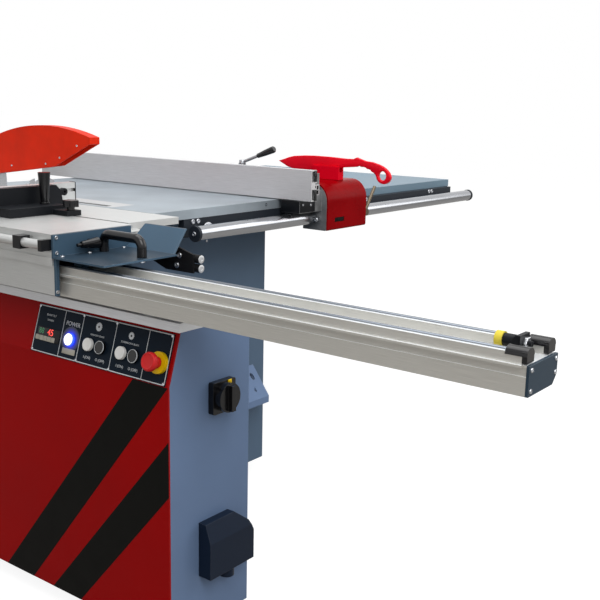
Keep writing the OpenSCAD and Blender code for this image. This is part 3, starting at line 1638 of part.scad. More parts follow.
module riving_knife() {
    color("silver") place() difference() {
        along_x([-knife_t / 2, knife_t / 2]) polygon([
            [knife_y0, arbor_z - knife_foot_h], [knife_y0 + knife_w, arbor_z - knife_foot_h],
            [knife_y0 + knife_w + knife_lean, table_h + knife_lean], [knife_y0 + knife_w - knife_lean, knife_top],
            [knife_y0 + knife_lean, knife_top], [knife_y0, table_h]
        ]);
        rod_along_x([-guard_w, guard_w], pivot_y, pivot_z, guard_pin_d + 2 * run_fit);
    }
}

module blade_guard() {
    color("orangered") place() {
        difference() {
            along_x([-guard_w / 2, guard_w / 2]) guard_outline(0);
            along_x([-guard_w / 2 + guard_wall, guard_w / 2 - guard_wall]) guard_outline(guard_wall);
            // the knife passes here when the guard swings up
            slab([-guard_slot_w / 2, guard_slot_w / 2], [guard_back - guard_wall - over, guard_back + over],
                 [guard_tail_z - over, pivot_z]);
        }
        rod_along_x([-guard_w / 2 + guard_wall - seam, guard_w / 2 - guard_wall + seam], pivot_y, pivot_z, guard_pin_d);
    }
}

module guard_outline(inset) {
    low = inset > 0 ? -over : 0;
    intersection() {
        translate([guard_arc_y, guard_top - guard_arc_r]) circle(r = guard_arc_r - inset, $fn = 192);
        polygon([
            [-guard_nose + inset, guard_nose_z + guard_brow], [-guard_nose + inset, guard_nose_z + low],
            [guard_chin_y + low, guard_chin_z + low], [guard_jaw_y, guard_jaw_z + 2 * low],
            [guard_back - inset, guard_tail_z + 2 * low], [guard_back - inset, guard_top],
            [guard_arc_y, guard_top + over]
        ]);
    }
}

left_base();
side_panel();
main_cabinet();
feet();
control_panel();
service_door();
estop_collar();
switch_plate();
power_inlet();
tool_bracket();
beam();
guide_rods();
rod_caps();
beam_end_covers();
beam_mount_bar();
bumper_brackets();
bumpers();
main_table();
table_insert();
extension_table();
rail_bar();
fence_rail();
trunnions();
carriage_table();
carriage_strip();
front_bracket();
rear_plate();
push_handle();
carriage_buffers();
side_bar();
bar_brackets();
carriage_knob();
roller_cage();
crosscut_base();
crosscut_fence();
crosscut_handle();
star_knob();
fence_head();
fence_cover();
fence_plate();
fence_lock_lever();
fence_clamp_lever();
push_stick();
tilt_frame();
arbor_block();
main_motor();
motor_pulley();
drive_belt();
saw_arbor();
main_blade();
scoring_motor();
scoring_blade();
riving_knife();
blade_guard();
start_button();
stop_button();
scoring_start_button();
scoring_stop_button();
estop_button();
switch_knob();
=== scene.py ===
import json
import math

import bmesh
import bpy
from mathutils import Matrix, Vector


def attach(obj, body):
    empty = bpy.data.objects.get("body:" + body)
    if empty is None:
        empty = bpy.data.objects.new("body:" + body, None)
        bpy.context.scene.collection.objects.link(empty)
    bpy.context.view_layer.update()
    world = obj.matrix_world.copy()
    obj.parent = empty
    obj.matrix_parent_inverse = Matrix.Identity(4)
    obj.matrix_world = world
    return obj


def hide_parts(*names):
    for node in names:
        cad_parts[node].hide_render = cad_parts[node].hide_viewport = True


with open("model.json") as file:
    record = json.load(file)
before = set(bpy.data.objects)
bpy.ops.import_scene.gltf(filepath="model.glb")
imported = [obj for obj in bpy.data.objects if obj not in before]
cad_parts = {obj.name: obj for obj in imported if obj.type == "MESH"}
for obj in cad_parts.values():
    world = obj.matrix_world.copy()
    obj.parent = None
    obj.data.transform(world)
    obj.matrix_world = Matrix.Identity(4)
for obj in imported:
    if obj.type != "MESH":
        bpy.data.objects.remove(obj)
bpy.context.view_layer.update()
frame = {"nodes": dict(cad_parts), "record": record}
nodes = frame["nodes"]
scene = bpy.context.scene
print("frame loaded:", len(nodes), "nodes")

# machine measures are in mm from the blade plane, the saw shaft and the floor
machine = {"centreX": 421.5}


def spot(x, y, z):
    return Vector(((x - machine["centreX"]) / 1000, y / 1000, z / 1000))


# camera at the photograph's viewing angle
view = {"place": (-1605.5, -2085.2, 1147.4), "yaw": 37.17, "pitch": 12.09, "roll": -1.24, "lens": 56.59,
        "sensor": 36, "reach": 200}


def setCamera():
    yaw, pitch, roll = (math.radians(view[k]) for k in ("yaw", "pitch", "roll"))
    level = math.cos(pitch)
    forward = Vector((math.cos(yaw) * level, math.sin(yaw) * level, -math.sin(pitch)))
    right = Vector((math.sin(yaw), -math.cos(yaw), 0))
    down = forward.cross(right)
    side = math.cos(roll) * right + math.sin(roll) * down
    drop = -math.sin(roll) * right + math.cos(roll) * down
    turn = Matrix((side, -drop, -forward)).transposed().to_4x4()
    turn.translation = spot(*view["place"])
    data = bpy.data.cameras.new("photoCamera")
    data.lens = view["lens"]
    data.sensor_width = view["sensor"]
    data.clip_end = view["reach"]
    eye = bpy.data.objects.new("photoCamera", data)
    eye.matrix_world = turn
    scene.collection.objects.link(eye)
    scene.camera = eye


setCamera()
print("camera set")


# finishes: each one is a small node tree on object coordinates
def toLinear(rgb):
    out = []
    for c in rgb:
        c /= 255
        out.append(c / 12.92 if c <= 0.04045 else ((c + 0.055) / 1.055) ** 2.4)
    return tuple(out) + (1.0,)


def shade(rgb, share):
    return tuple(min(255, c * share) for c in rgb)


def newFinish(name, sheen=0.5):
    mat = bpy.data.materials.new(name)
    mat.use_nodes = True
    tree = mat.node_tree
    shader = tree.nodes["Principled BSDF"]
    shader.inputs["Specular IOR Level"].default_value = sheen
    return mat, tree, shader


def grain(tree, size, stretch=(1, 1, 1), detail=3.0):
    coord = tree.nodes.new("ShaderNodeTexCoord")
    mapping = tree.nodes.new("ShaderNodeMapping")
    mapping.inputs["Scale"].default_value = stretch
    noise = tree.nodes.new("ShaderNodeTexNoise")
    noise.inputs["Scale"].default_value = 1 / size
    noise.inputs["Detail"].default_value = detail
    tree.links.new(coord.outputs["Object"], mapping.inputs["Vector"])
    tree.links.new(mapping.outputs["Vector"], noise.inputs["Vector"])
    return noise.outputs["Fac"]


def spread(tree, field, low, high, start=0.3, end=0.7):
    node = tree.nodes.new("ShaderNodeMapRange")
    node.inputs["From Min"].default_value = start
    node.inputs["From Max"].default_value = end
    node.inputs["To Min"].default_value = low
    node.inputs["To Max"].default_value = high
    tree.links.new(field, node.inputs["Value"])
    return node.outputs["Result"]


def socketOf(sockets, key):
    return next(s for s in sockets if s.identifier == key)


def blendColours(tree, factor, first, second):
    node = tree.nodes.new("ShaderNodeMix")
    node.data_type = "RGBA"
    tree.links.new(factor, socketOf(node.inputs, "Factor_Float"))
    for key, colour in (("A_Color", first), ("B_Color", second)):
        socket = socketOf(node.inputs, key)
        if isinstance(colour, tuple):
            socket.default_value = colour
        else:
            tree.links.new(colour, socket)
    return socketOf(node.outputs, "Result_Color")


paleEdgeStyle = {"samples": 4, "reach": 0.0022, "leans": (0.8, 0.98), "pale": 0.4}


def softNormal(tree, radius):
    soft = tree.nodes.new("ShaderNodeBevel")
    soft.samples = paleEdgeStyle["samples"]
    soft.inputs["Radius"].default_value = radius
    return soft.outputs["Normal"]


def edgeMask(tree, radius):
    # near an edge the softened normal leaves the true one
    true = tree.nodes.new("ShaderNodeNewGeometry")
    dot = tree.nodes.new("ShaderNodeVectorMath")
    dot.operation = "DOT_PRODUCT"
    tree.links.new(softNormal(tree, radius), dot.inputs[0])
    tree.links.new(true.outputs["True Normal"], dot.inputs[1])
    return spread(tree, dot.outputs["Value"], 1, 0, *paleEdgeStyle["leans"])


def relief(tree, shader, field, depth, edge):
    bump = tree.nodes.new("ShaderNodeBump")
    bump.inputs["Strength"].default_value = 1.0
    bump.inputs["Distance"].default_value = depth
    tree.links.new(field, bump.inputs["Height"])
    tree.links.new(softNormal(tree, edge), bump.inputs["Normal"])
    tree.links.new(bump.outputs["Normal"], shader.inputs["Normal"])


def tinted(tree, shader, field, rgb, tint, wearAndHighlight=0.0):
    # the field runs between two shares of the colour, and edges go pale: worn edges, and on the ground table
    # also a painted highlight along the edge
    low, high = (toLinear(shade(rgb, share)) for share in tint)
    colour = blendColours(tree, spread(tree, field, 0, 1), low, high)
    if wearAndHighlight:
        paleShare = tree.nodes.new("ShaderNodeMath")
        paleShare.operation = "MULTIPLY"
        paleShare.inputs[1].default_value = wearAndHighlight
        tree.links.new(edgeMask(tree, paleEdgeStyle["reach"]), paleShare.inputs[0])
        pale = tuple(c + (255 - c) * paleEdgeStyle["pale"] for c in rgb)
        colour = blendColours(tree, paleShare.outputs[0], colour, toLinear(pale))
    tree.links.new(colour, shader.inputs["Base Color"])


def roughened(tree, shader, field, rough, reach):
    low, high = (rough + step for step in reach)
    tree.links.new(spread(tree, field, low, high), shader.inputs["Roughness"])


def blendUp(mat, reading, rgb, start, end):
    # the colour changes with the Z of the place or of the normal
    tree = mat.node_tree
    base = tree.nodes["Principled BSDF"].inputs["Base Color"]
    coord = tree.nodes.new("ShaderNodeTexCoord")
    split = tree.nodes.new("ShaderNodeSeparateXYZ")
    tree.links.new(coord.outputs[reading], split.inputs[0])
    below = base.links[0].from_socket
    share = spread(tree, split.outputs["Z"], 0, 1, start, end)
    tree.links.new(blendColours(tree, share, below, toLinear(rgb)), base)


paintStyle = {"cloud": 0.35, "peel": 0.0035, "depth": 0.00006, "edge": 0.0015, "tint": (0.95, 1.04),
              "reach": (-0.05, 0.06)}


def paintedSheet(name, rgb, rough=0.42, wearAndHighlight=0.3, sheen=0.14):
    mat, tree, shader = newFinish(name, sheen)
    cloud = grain(tree, paintStyle["cloud"], detail=4)
    peel = grain(tree, paintStyle["peel"], detail=2)
    tinted(tree, shader, cloud, rgb, paintStyle["tint"], wearAndHighlight)
    roughened(tree, shader, cloud, rough, paintStyle["reach"])
    relief(tree, shader, peel, paintStyle["depth"], paintStyle["edge"])
    return mat


plasticStyle = {"cloud": 0.06, "pits": 0.0012, "tint": (0.96, 1.03), "reach": (-0.07, 0.07)}


def mouldedPlastic(name, rgb, rough=0.5, pitted=0.00005, edge=0.0012, sheen=0.2):
    mat, tree, shader = newFinish(name, sheen)
    cloud = grain(tree, plasticStyle["cloud"])
    pits = grain(tree, plasticStyle["pits"], detail=2)
    tinted(tree, shader, cloud, rgb, plasticStyle["tint"])
    roughened(tree, shader, cloud, rough, plasticStyle["reach"])
    relief(tree, shader, pits, pitted, edge)
    return mat


metalStyle = {"streak": 0.02, "cloud": 0.25, "edge": 0.0006, "tint": (0.95, 1.03), "reach": (-0.06, 0.08),
              "facingUp": (0.5, 0.9)}


def drawnMetal(name, rgb, lines, rough=0.34, metal=1.0, depth=0.000004, paintedTopLight=None):
    mat, tree, shader = newFinish(name)
    streak = grain(tree, metalStyle["streak"], lines, detail=2)
    cloud = grain(tree, metalStyle["cloud"], detail=4)
    tinted(tree, shader, streak, rgb, metalStyle["tint"])
    roughened(tree, shader, cloud, rough, metalStyle["reach"])
    shader.inputs["Metallic"].default_value = metal
    relief(tree, shader, streak, depth, metalStyle["edge"])
    if paintedTopLight:
        # faces that look up are painted brighter, a painted highlight for the light falling from above
        blendUp(mat, "Normal", paintedTopLight, *metalStyle["facingUp"])
    return mat


# cast iron, ground flat on the table and left rough below it
# its strong pale edges are partly wear and partly a painted highlight along the table's edge
groundStyle = {"grain": 0.006, "lines": (1, 30, 30), "detail": 4, "cloud": 0.12, "cloudDetail": 5,
               "tint": (0.94, 1.04), "wearAndHighlight": 0.8, "rough": 0.42, "reach": (-0.08, 0.08), "metal": 0.55,
               "depth": 0.00005, "edge": 0.001}
skinStyle = {"grain": 0.004, "lines": (1, 1, 1), "detail": 5, "cloud": 0.05, "cloudDetail": 4,
             "tint": (0.8, 1.15), "wearAndHighlight": 0.3, "rough": 0.575, "reach": (-0.125, 0.125), "metal": 0.4,
             "depth": 0.0004, "edge": 0.002}


def castIron(name, rgb, style):
    mat, tree, shader = newFinish(name)
    skin = grain(tree, style["grain"], style["lines"], style["detail"])
    cloud = grain(tree, style["cloud"], detail=style["cloudDetail"])
    tinted(tree, shader, cloud, rgb, style["tint"], style["wearAndHighlight"])
    roughened(tree, shader, skin, style["rough"], style["reach"])
    shader.inputs["Metallic"].default_value = style["metal"]
    relief(tree, shader, skin, style["depth"], style["edge"])
    return mat


glowStyle = {"cloud": 0.01, "tint": (0.92, 1.0), "rough": 0.3}


def glowing(name, rgb, strength):
    mat, tree, shader = newFinish(name)
    tinted(tree, shader, grain(tree, glowStyle["cloud"], detail=2), rgb, glowStyle["tint"])
    shader.inputs["Emission Color"].default_value = toLinear(rgb)
    shader.inputs["Emission Strength"].default_value = strength
    shader.inputs["Roughness"].default_value = glowStyle["rough"]
    return mat


finishes = {
    "base_paint": paintedSheet("basePaint", (106, 128, 162)),
    "red_panel": paintedSheet("redPanel", (162, 6, 8), 0.4, sheen=0.05),
    "cabinet_paint": paintedSheet("cabinetPaint", (88, 108, 130)),
    "dark_paint": paintedSheet("darkPaint", (18, 30, 48)),
    "bracket_paint": paintedSheet("bracketPaint", (66, 90, 110), 0.4),
    "black_paint": paintedSheet("blackPaint", (18, 20, 24), 0.4, wearAndHighlight=0.08),
    "black_rubber": mouldedPlastic("blackRubber", (16, 16, 18), 0.7),
    "yellow_rubber": mouldedPlastic("yellowRubber", (226, 206, 74), 0.6),
    "panel_face": mouldedPlastic("panelFace", (17, 28, 40), 0.45, sheen=0.06),
    "yellow_plastic": mouldedPlastic("yellowPlastic", (236, 196, 6), 0.35),
    "black_plastic": mouldedPlastic("blackPlastic", (13, 13, 16), 0.2, 0.00002, sheen=0.4),
    "white_plastic": mouldedPlastic("whitePlastic", (236, 236, 234), 0.35),
    "stop_plastic": mouldedPlastic("stopPlastic", (206, 36, 38), 0.4),
    "red_plastic": mouldedPlastic("redPlastic", (236, 8, 36), 0.32, 0.00002, sheen=0.14),
    "guard_plastic": mouldedPlastic("guardPlastic", (226, 46, 18), 0.42, 0.00002, sheen=0.08),
    # the beam's up-facing faces carry a painted highlight for the light from above
    "beam_aluminium": drawnMetal("beamAluminium", (200, 198, 192), (40, 0.4, 40), 0.36, 0.55,
                                 paintedTopLight=(250, 253, 255)),
    "carriage_aluminium": drawnMetal("carriageAluminium", (202, 203, 202), (40, 0.4, 40), 0.4, 0.6),
    "fence_aluminium": drawnMetal("fenceAluminium", (206, 206, 208), (30, 0.5, 30), 0.45, 0.45),
    "insert_aluminium": drawnMetal("insertAluminium", (200, 201, 202), (30, 0.5, 30), 0.4, 0.6),
    "bright_steel": drawnMetal("brightSteel", (188, 190, 194), (20, 20, 20), 0.25, 1.0),
    "chrome_rail": drawnMetal("chromeRail", (168, 170, 174), (0.6, 30, 30), 0.16, 1.0, 0.00001),
    "cast_table": castIron("castTable", (160, 170, 178), groundStyle),
    "cast_dark": castIron("castDark", (128, 130, 132), skinStyle),
}
for part in frame["record"]["subparts"]:
    mesh = nodes[part["node"]].data
    mesh.materials.clear()
    mesh.materials.append(finishes[part["material_slot"]])

# the bracket's shelf is painted darker than its upright sides, a painted shade
shelfPaintedShade = {"rgb": (42, 57, 70), "facingUp": (0.85, 0.98)}
blendUp(finishes["bracket_paint"], "Normal", shelfPaintedShade["rgb"], *shelfPaintedShade["facingUp"])

# the stick's holder on top of the fence cover is brighter than the cover
coverShade = {"rgb": (140, 1, 7), "holder": (226, 6, 36), "heights": (0.916, 0.918)}
coverRed = mouldedPlastic("coverRed", coverShade["rgb"], 0.3, 0.00002, sheen=0.03)
blendUp(coverRed, "Object", coverShade["holder"], *coverShade["heights"])

# pieces whose paint differs a little from the rest of their slot
shades = {"beam_end_covers": paintedSheet("coverPaint", (44, 60, 74), 0.4),
          "extension_table": paintedSheet("extensionPaint", (118, 142, 158), 0.4),
          "fence_cover": coverRed,
          # the mount bar is a brighter copy of the insert aluminium, painted light against the shade under
          # the beam
          "beam_mount_bar": drawnMetal("barAluminium", (226, 228, 232), (30, 0.5, 30), 0.4, 0.5),
          "guide_rods": drawnMetal("rodSteel", (122, 128, 136), (20, 0.5, 20), 0.3),
          "rail_bar": paintedSheet("barPaint", (38, 43, 50), 0.4, wearAndHighlight=0.1),
          "fence_lock_lever": drawnMetal("leverShade", (104, 94, 80), (10, 10, 10), 0.38)}
for node, mat in shades.items():
    nodes[node].data.materials[0] = mat
print("finishes set:", len(finishes))


# mesh helpers: every piece is built where it stands in the frame
edgeStyle = {"segments": 3, "roundFrom": 40, "sharpFrom": 38, "weld": 1e-7, "upright": 0.99}


def addBox(bm, low, high, at=None):
    xs, ys, zs = zip(low, high)
    corners = [Vector((x, y, z)) for x in xs for y in ys for z in zs]
    verts = [bm.verts.new(at @ c if at else c) for c in corners]
    for quad in ((0, 1, 3, 2), (4, 6, 7, 5), (0, 4, 5, 1), (2, 3, 7, 6), (0, 2, 6, 4), (1, 5, 7, 3)):
        bm.faces.new([verts[i] for i in quad])


def addBlock(bm, x, y, z):
    addBox(bm, spot(x[0], y[0], z[0]), spot(x[1], y[1], z[1]))


def addTurned(bm, profile, at, steps):
    # profile in mm: radius and height pairs turned round the place's Z
    rings = []
    for radius, height in profile:
        r, h = radius / 1000, height / 1000
        if r < edgeStyle["weld"]:
            rings.append([bm.verts.new(at @ Vector((0, 0, h)))])
        else:
            rings.append([bm.verts.new(at @ Vector((r * math.cos(a), r * math.sin(a), h)))
                          for a in (2 * math.pi * i / steps for i in range(steps))])
    for low, high in zip(rings, rings[1:]):
        for i in range(steps):
            j = (i + 1) % steps
            if len(low) == 1 and len(high) == 1:
                continue
            if len(low) == 1:
                bm.faces.new((low[0], high[j], high[i]))
            elif len(high) == 1:
                bm.faces.new((low[i], low[j], high[0]))
            else:
                bm.faces.new((low[i], low[j], high[j], high[i]))


def addPlate(bm, outline, depth, at):
    # outline in mm, drawn out by depth along the place's Z
    low = [bm.verts.new(at @ Vector((x / 1000, y / 1000, 0))) for x, y in outline]
    high = [bm.verts.new(at @ Vector((x / 1000, y / 1000, depth / 1000))) for x, y in outline]
    bm.faces.new(low[::-1])
    bm.faces.new(high)
    for i in range(len(outline)):
        j = (i + 1) % len(outline)
        bm.faces.new((low[i], low[j], high[j], high[i]))


def polygonRing(sides, radius, inner=None):
    # a regular outline, with every other point on the inner radius where one is given
    reach = (radius, inner) if inner else (radius,)
    count = sides * len(reach)
    ring = []
    for i in range(count):
        angle = 2 * math.pi * i / count
        r = reach[i % len(reach)]
        ring.append((r * math.cos(angle), r * math.sin(angle)))
    return ring


def facing(point, out):
    # a place whose Z looks out and whose Y leans up, or back where Z itself is upright
    zAxis = Vector(out).normalized()
    yAxis = Vector((0, 0, 1))
    if abs(yAxis.dot(zAxis)) > edgeStyle["upright"]:
        yAxis = Vector((0, 1, 0))
    yAxis = (yAxis - zAxis * yAxis.dot(zAxis)).normalized()
    turn = Matrix((yAxis.cross(zAxis), yAxis, zAxis)).transposed().to_4x4()
    turn.translation = point
    return turn


def place(mesh, name, body, mat, bevel=0.0, smooth=True):
    mesh.materials.clear()
    mesh.materials.append(mat)
    piece = bpy.data.objects.new(name, mesh)
    scene.collection.objects.link(piece)
    if bevel:
        cut = piece.modifiers.new("roundEdges", "BEVEL")
        cut.width = bevel
        cut.segments = edgeStyle["segments"]
        cut.limit_method = "ANGLE"
        cut.angle_limit = math.radians(edgeStyle["roundFrom"])
    solid = bpy.data.meshes.new_from_object(piece.evaluated_get(bpy.context.evaluated_depsgraph_get()))
    solid.name = name
    piece.modifiers.clear()
    if smooth:
        solid.shade_smooth()
        solid.set_sharp_from_angle(angle=math.radians(edgeStyle["sharpFrom"]))
    piece.data = solid
    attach(piece, body)
    return piece


def settle(bm, name, body, slot, mat=None, bevel=0.0, smooth=True):
    bmesh.ops.remove_doubles(bm, verts=bm.verts, dist=edgeStyle["weld"])
    bmesh.ops.recalc_face_normals(bm, faces=bm.faces)
    mesh = bpy.data.meshes.new(name)
    bm.to_mesh(mesh)
    bm.free()
    return place(mesh, name, body, mat or finishes[slot], bevel, smooth)


# pieces that are only blocks, or only turned about one or more places
def blockPiece(name, body, slot, blocks, mat=None, bevel=0.0, smooth=True):
    bm = bmesh.new()
    for x, y, z in blocks:
        addBlock(bm, x, y, z)
    return settle(bm, name, body, slot, mat, bevel, smooth)


def turnedPiece(name, body, slot, style, places, mat=None):
    bm = bmesh.new()
    for at in places:
        addTurned(bm, style["profile"], at, style["sides"])
    return settle(bm, name, body, slot, mat)


# screws: one socket-head shape set on points by a node tree, in shares of the head's radius
screwStyle = {"rise": 0.45, "shoulder": 0.27, "crown": 0.86, "socket": 0.52, "socketFoot": 0.4888,
              "sunk": 0.2, "root": -0.05, "rim": 1, "sides": 18}


def screwShape():
    at = {key: share * 1000 for key, share in screwStyle.items()}
    bm = bmesh.new()
    profile = [(0, at["root"]), (at["rim"], at["root"]), (at["rim"], at["shoulder"]),
               (at["crown"], at["rise"]), (at["socket"], at["rise"]),
               (at["socketFoot"], at["sunk"]), (0, at["sunk"])]
    addTurned(bm, profile, Matrix.Identity(4), screwStyle["sides"])
    bmesh.ops.recalc_face_normals(bm, faces=bm.faces)
    mesh = bpy.data.meshes.new("screwShape")
    bm.to_mesh(mesh)
    bm.free()
    shape = bpy.data.objects.new("screwShape", mesh)
    scene.collection.objects.link(shape)
    return shape


def spotTree(name, shape, mat):
    tree = bpy.data.node_groups.new(name, "GeometryNodeTree")
    tree.interface.new_socket("Points", in_out="INPUT", socket_type="NodeSocketGeometry")
    size = tree.interface.new_socket("Radius", in_out="INPUT", socket_type="NodeSocketFloat")
    tree.interface.new_socket("Mesh", in_out="OUTPUT", socket_type="NodeSocketGeometry")
    start = tree.nodes.new("NodeGroupInput")
    end = tree.nodes.new("NodeGroupOutput")
    toPoints = tree.nodes.new("GeometryNodeMeshToPoints")
    out = tree.nodes.new("GeometryNodeInputNamedAttribute")
    out.data_type = "FLOAT_VECTOR"
    out.inputs["Name"].default_value = "outward"
    turn = tree.nodes.new("FunctionNodeAlignRotationToVector")
    turn.axis = "Z"
    info = tree.nodes.new("GeometryNodeObjectInfo")
    info.inputs["Object"].default_value = shape
    onPoints = tree.nodes.new("GeometryNodeInstanceOnPoints")
    real = tree.nodes.new("GeometryNodeRealizeInstances")
    paint = tree.nodes.new("GeometryNodeSetMaterial")
    paint.inputs["Material"].default_value = mat
    links = tree.links
    links.new(start.outputs["Points"], toPoints.inputs["Mesh"])
    links.new(toPoints.outputs["Points"], onPoints.inputs["Points"])
    links.new(info.outputs["Geometry"], onPoints.inputs["Instance"])
    links.new(next(o for o in out.outputs if o.name == "Attribute" and o.enabled), turn.inputs["Vector"])
    links.new(turn.outputs["Rotation"], onPoints.inputs["Rotation"])
    links.new(start.outputs["Radius"], onPoints.inputs["Scale"])
    links.new(onPoints.outputs["Instances"], real.inputs["Geometry"])
    links.new(real.outputs["Geometry"], paint.inputs["Geometry"])
    links.new(paint.outputs["Geometry"], end.inputs["Mesh"])
    return tree, size.identifier


def setOnSpots(name, body, spots, radius, shape, slot):
    mesh = bpy.data.meshes.new(name)
    mesh.from_pydata([tuple(p) for p, out in spots], [], [])
    outward = mesh.attributes.new("outward", "FLOAT_VECTOR", "POINT")
    for i, (p, out) in enumerate(spots):
        outward.data[i].vector = Vector(out).normalized()
    seed = bpy.data.objects.new(name, mesh)
    scene.collection.objects.link(seed)
    tree, key = spotTree(name + "Tree", shape, finishes[slot])
    mod = seed.modifiers.new("spots", "NODES")
    mod.node_group = tree
    mod[key] = radius
    seed.update_tag()
    solid = bpy.data.meshes.new_from_object(seed.evaluated_get(bpy.context.evaluated_depsgraph_get()))
    solid.name = name
    bpy.data.objects.remove(seed)
    return place(solid, name, body, finishes[slot])


# the control panel lies on the base's slope: right is towards the front, up is up the slope
slope = {"foldX": -362, "foldZ": 593, "rise": 119, "leanIn": 36, "sheet": 3, "midShare": 0.4224,
         "height": 104, "length": 414, "rear": -407, "proud": 2}
slopeLean = math.atan(slope["leanIn"] / slope["rise"])
slopeUp = Vector((math.sin(slopeLean), 0, math.cos(slopeLean)))
slopeOut = Vector((-math.cos(slopeLean), 0, math.sin(slopeLean)))
slopeRight = Vector((0, -1, 0))
slopeSkin = slope["foldX"] - slope["sheet"] / math.cos(slopeLean)


def onPanel(right, up, out=0.0):
    # mm from the film's lower rear corner
    low = slope["rise"] / math.cos(slopeLean) * slope["midShare"] - slope["height"] / 2
    base = spot(slopeSkin, slope["rear"], slope["foldZ"])
    return base + (slopeRight * right + slopeUp * (low + up) + slopeOut * (slope["proud"] + out)) / 1000


def panelPlace(right, up, out=0.0):
    turn = Matrix((slopeRight, slopeUp, slopeOut)).transposed().to_4x4()
    turn.translation = onPanel(right, up, out)
    return turn


inks = {
    "white": mouldedPlastic("whiteInk", (214, 218, 222), 0.45, 0.00001, 0.0002),
    "black": mouldedPlastic("blackInk", (15, 15, 13), 0.5, 0.00002, 0.0002, 0.06),
    "lampWhite": glowing("lampWhite", (236, 240, 255), 1.6),
    "lampBlue": glowing("lampBlue", (40, 70, 255), 2.0),
    "digitRed": glowing("digitRed", (255, 70, 60), 1.2),
    "digitGreen": glowing("digitGreen", (50, 130, 84), 0.25),
    "keyGrey": mouldedPlastic("keyGrey", (176, 172, 160), 0.5),
    "window": mouldedPlastic("displayWindow", (11, 12, 14), 0.2),
}


def lettering(text, size, at, ink, name, depth=0.12):
    font = bpy.data.curves.new(name, "FONT")
    font.body = text
    font.size = size / 1000
    font.align_x = "CENTER"
    font.align_y = "CENTER"
    font.extrude = depth / 1000
    words = bpy.data.objects.new(name, font)
    scene.collection.objects.link(words)
    mesh = bpy.data.meshes.new_from_object(words.evaluated_get(bpy.context.evaluated_depsgraph_get()))
    bpy.data.objects.remove(words)
    mesh.transform(at)
    mesh.name = name
    return place(mesh, name, "frame", inks[ink], smooth=False)


def panelBox(bm, corners, rise, out=0.0):
    # corners in mm on the film
    x0, y0, x1, y1 = (c / 1000 for c in corners)
    addBox(bm, (x0, y0, 0), (x1, y1, rise / 1000), panelPlace(0, 0, out))


# printed film: frame lines, dividers, blade signs and plain words
film = {"inset": 1.2, "edgeLine": 2.0, "line": 1.5, "skin": 0.25, "lift": 0.1, "wordLift": 0.15,
        "dividers": [89.5, 149, 251, 346], "signs": [((199.8, 83.7), 9.7), ((298, 81.3), 8.0)],
        "signTeeth": 14, "signGullet": 0.86, "signBore": 2.2, "boreSides": 20, "lamp": (120, 43),
        "buttons": [(182.2, 43), (219.8, 43), (281.5, 43), (319, 43)], "stop": (389.6, 43)}
filmWords = [
    ("POWER", 13, (120.2, 76)), ("MAIN SAW BLADE", 5.2, (200, 64.7)),
    ("SCORING SAW BLADE", 5.2, (298, 65.7)),
    ("I (ON)", 8, (181, 15.8)), ("O (OFF)", 8, (221, 15.8)),
    ("I (ON)", 8, (281, 15.8)), ("O (OFF)", 8, (320, 15.8)),
    ("BLADE TILT", 6.2, (46, 84)), ("DEGREES", 5.2, (46, 73)),
]


def filmBars():
    inset, edge = film["inset"], film["edgeLine"]
    right, top = slope["length"] - inset, slope["height"] - inset
    rims = [(inset, inset, right, inset + edge), (inset, top - edge, right, top),
            (inset, inset, inset + edge, top), (right - edge, inset, right, top)]
    return rims + [(x, inset, x + film["line"], top) for x in film["dividers"]]


def controlFilm():
    skin, lift, bore = film["skin"], film["lift"], film["signBore"]
    bm = bmesh.new()
    for corners in filmBars():
        panelBox(bm, corners, skin, lift)
    settle(bm, "filmLines", "frame", "panel_face", inks["white"], smooth=False)
    discs, bores = bmesh.new(), bmesh.new()
    for at, radius in film["signs"]:
        onFilm = panelPlace(*at, lift)
        addPlate(discs, polygonRing(film["signTeeth"], radius, radius * film["signGullet"]), skin, onFilm)
        addTurned(bores, [(0, 0), (bore, 0), (bore, skin * 2), (0, skin * 2)], onFilm, film["boreSides"])
    settle(discs, "bladeSigns", "frame", "panel_face", inks["white"], smooth=False)
    settle(bores, "signBores", "frame", "panel_face", inks["black"], smooth=False)
    for i, (text, size, at) in enumerate(filmWords):
        lettering(text, size, panelPlace(*at, film["wordLift"]), "white", f"filmWord{i}")


# tilt readout: a dark window over a row of keys
readout = {"window": (12, 27, 86, 56), "keys": 5, "keyRow": (9, 27, 74, 37.5), "keyGap": 1.4, "rise": 1.6,
           "keyRise": 2.8, "round": 0.0008, "keyRound": 0.0006,
           "digits": [("88", 17, (25, 47), "digitGreen", "digitsLeft"),
                      ("45", 20, (55, 46.5), "digitRed", "digitsRight")]}


def tiltReadout():
    bm = bmesh.new()
    panelBox(bm, readout["window"], readout["rise"])
    settle(bm, "readoutWindow", "frame", "panel_face", inks["window"], readout["round"])
    x0, y0, x1, y1 = readout["keyRow"]
    pitch = (x1 - x0) / readout["keys"]
    bm = bmesh.new()
    for i in range(readout["keys"]):
        left = x0 + pitch * i
        panelBox(bm, (left, y0, left + pitch - readout["keyGap"], y1), readout["keyRise"])
    settle(bm, "readoutKeys", "frame", "panel_face", inks["keyGrey"], readout["keyRound"])
    for text, size, at, ink, name in readout["digits"]:
        lettering(text, size, panelPlace(*at, readout["rise"]), ink, name)


# power lamp with the glow that it throws on the film
lamp = {"lift": 0.05, "tag": (101, 11.5, 142, 23.5), "tagRise": 0.6, "tagRound": 0.0002}
lampRing = {"sides": 40, "profile": [(11, 5), (12.8, 5), (13.6, 4.2), (13.6, 0), (12.4, 0), (12.4, 3.6),
                                     (11, 3.6), (11, 5)]}
lampLens = {"sides": 40, "profile": [(0, 4.6), (11.2, 4.6), (12.4, 5.4), (12.6, 6.4), (11.2, 8), (7.5, 9.2),
                                     (0, 9.8)]}
glow = {"inner": 13, "outer": 30, "rim": 28, "skin": 0.05, "sides": 48, "falloff": 2.6,
        "rgb": (20, 40, 255), "film": (22, 31, 42), "tint": (0.92, 1.06), "grain": 0.06, "rough": 0.4}


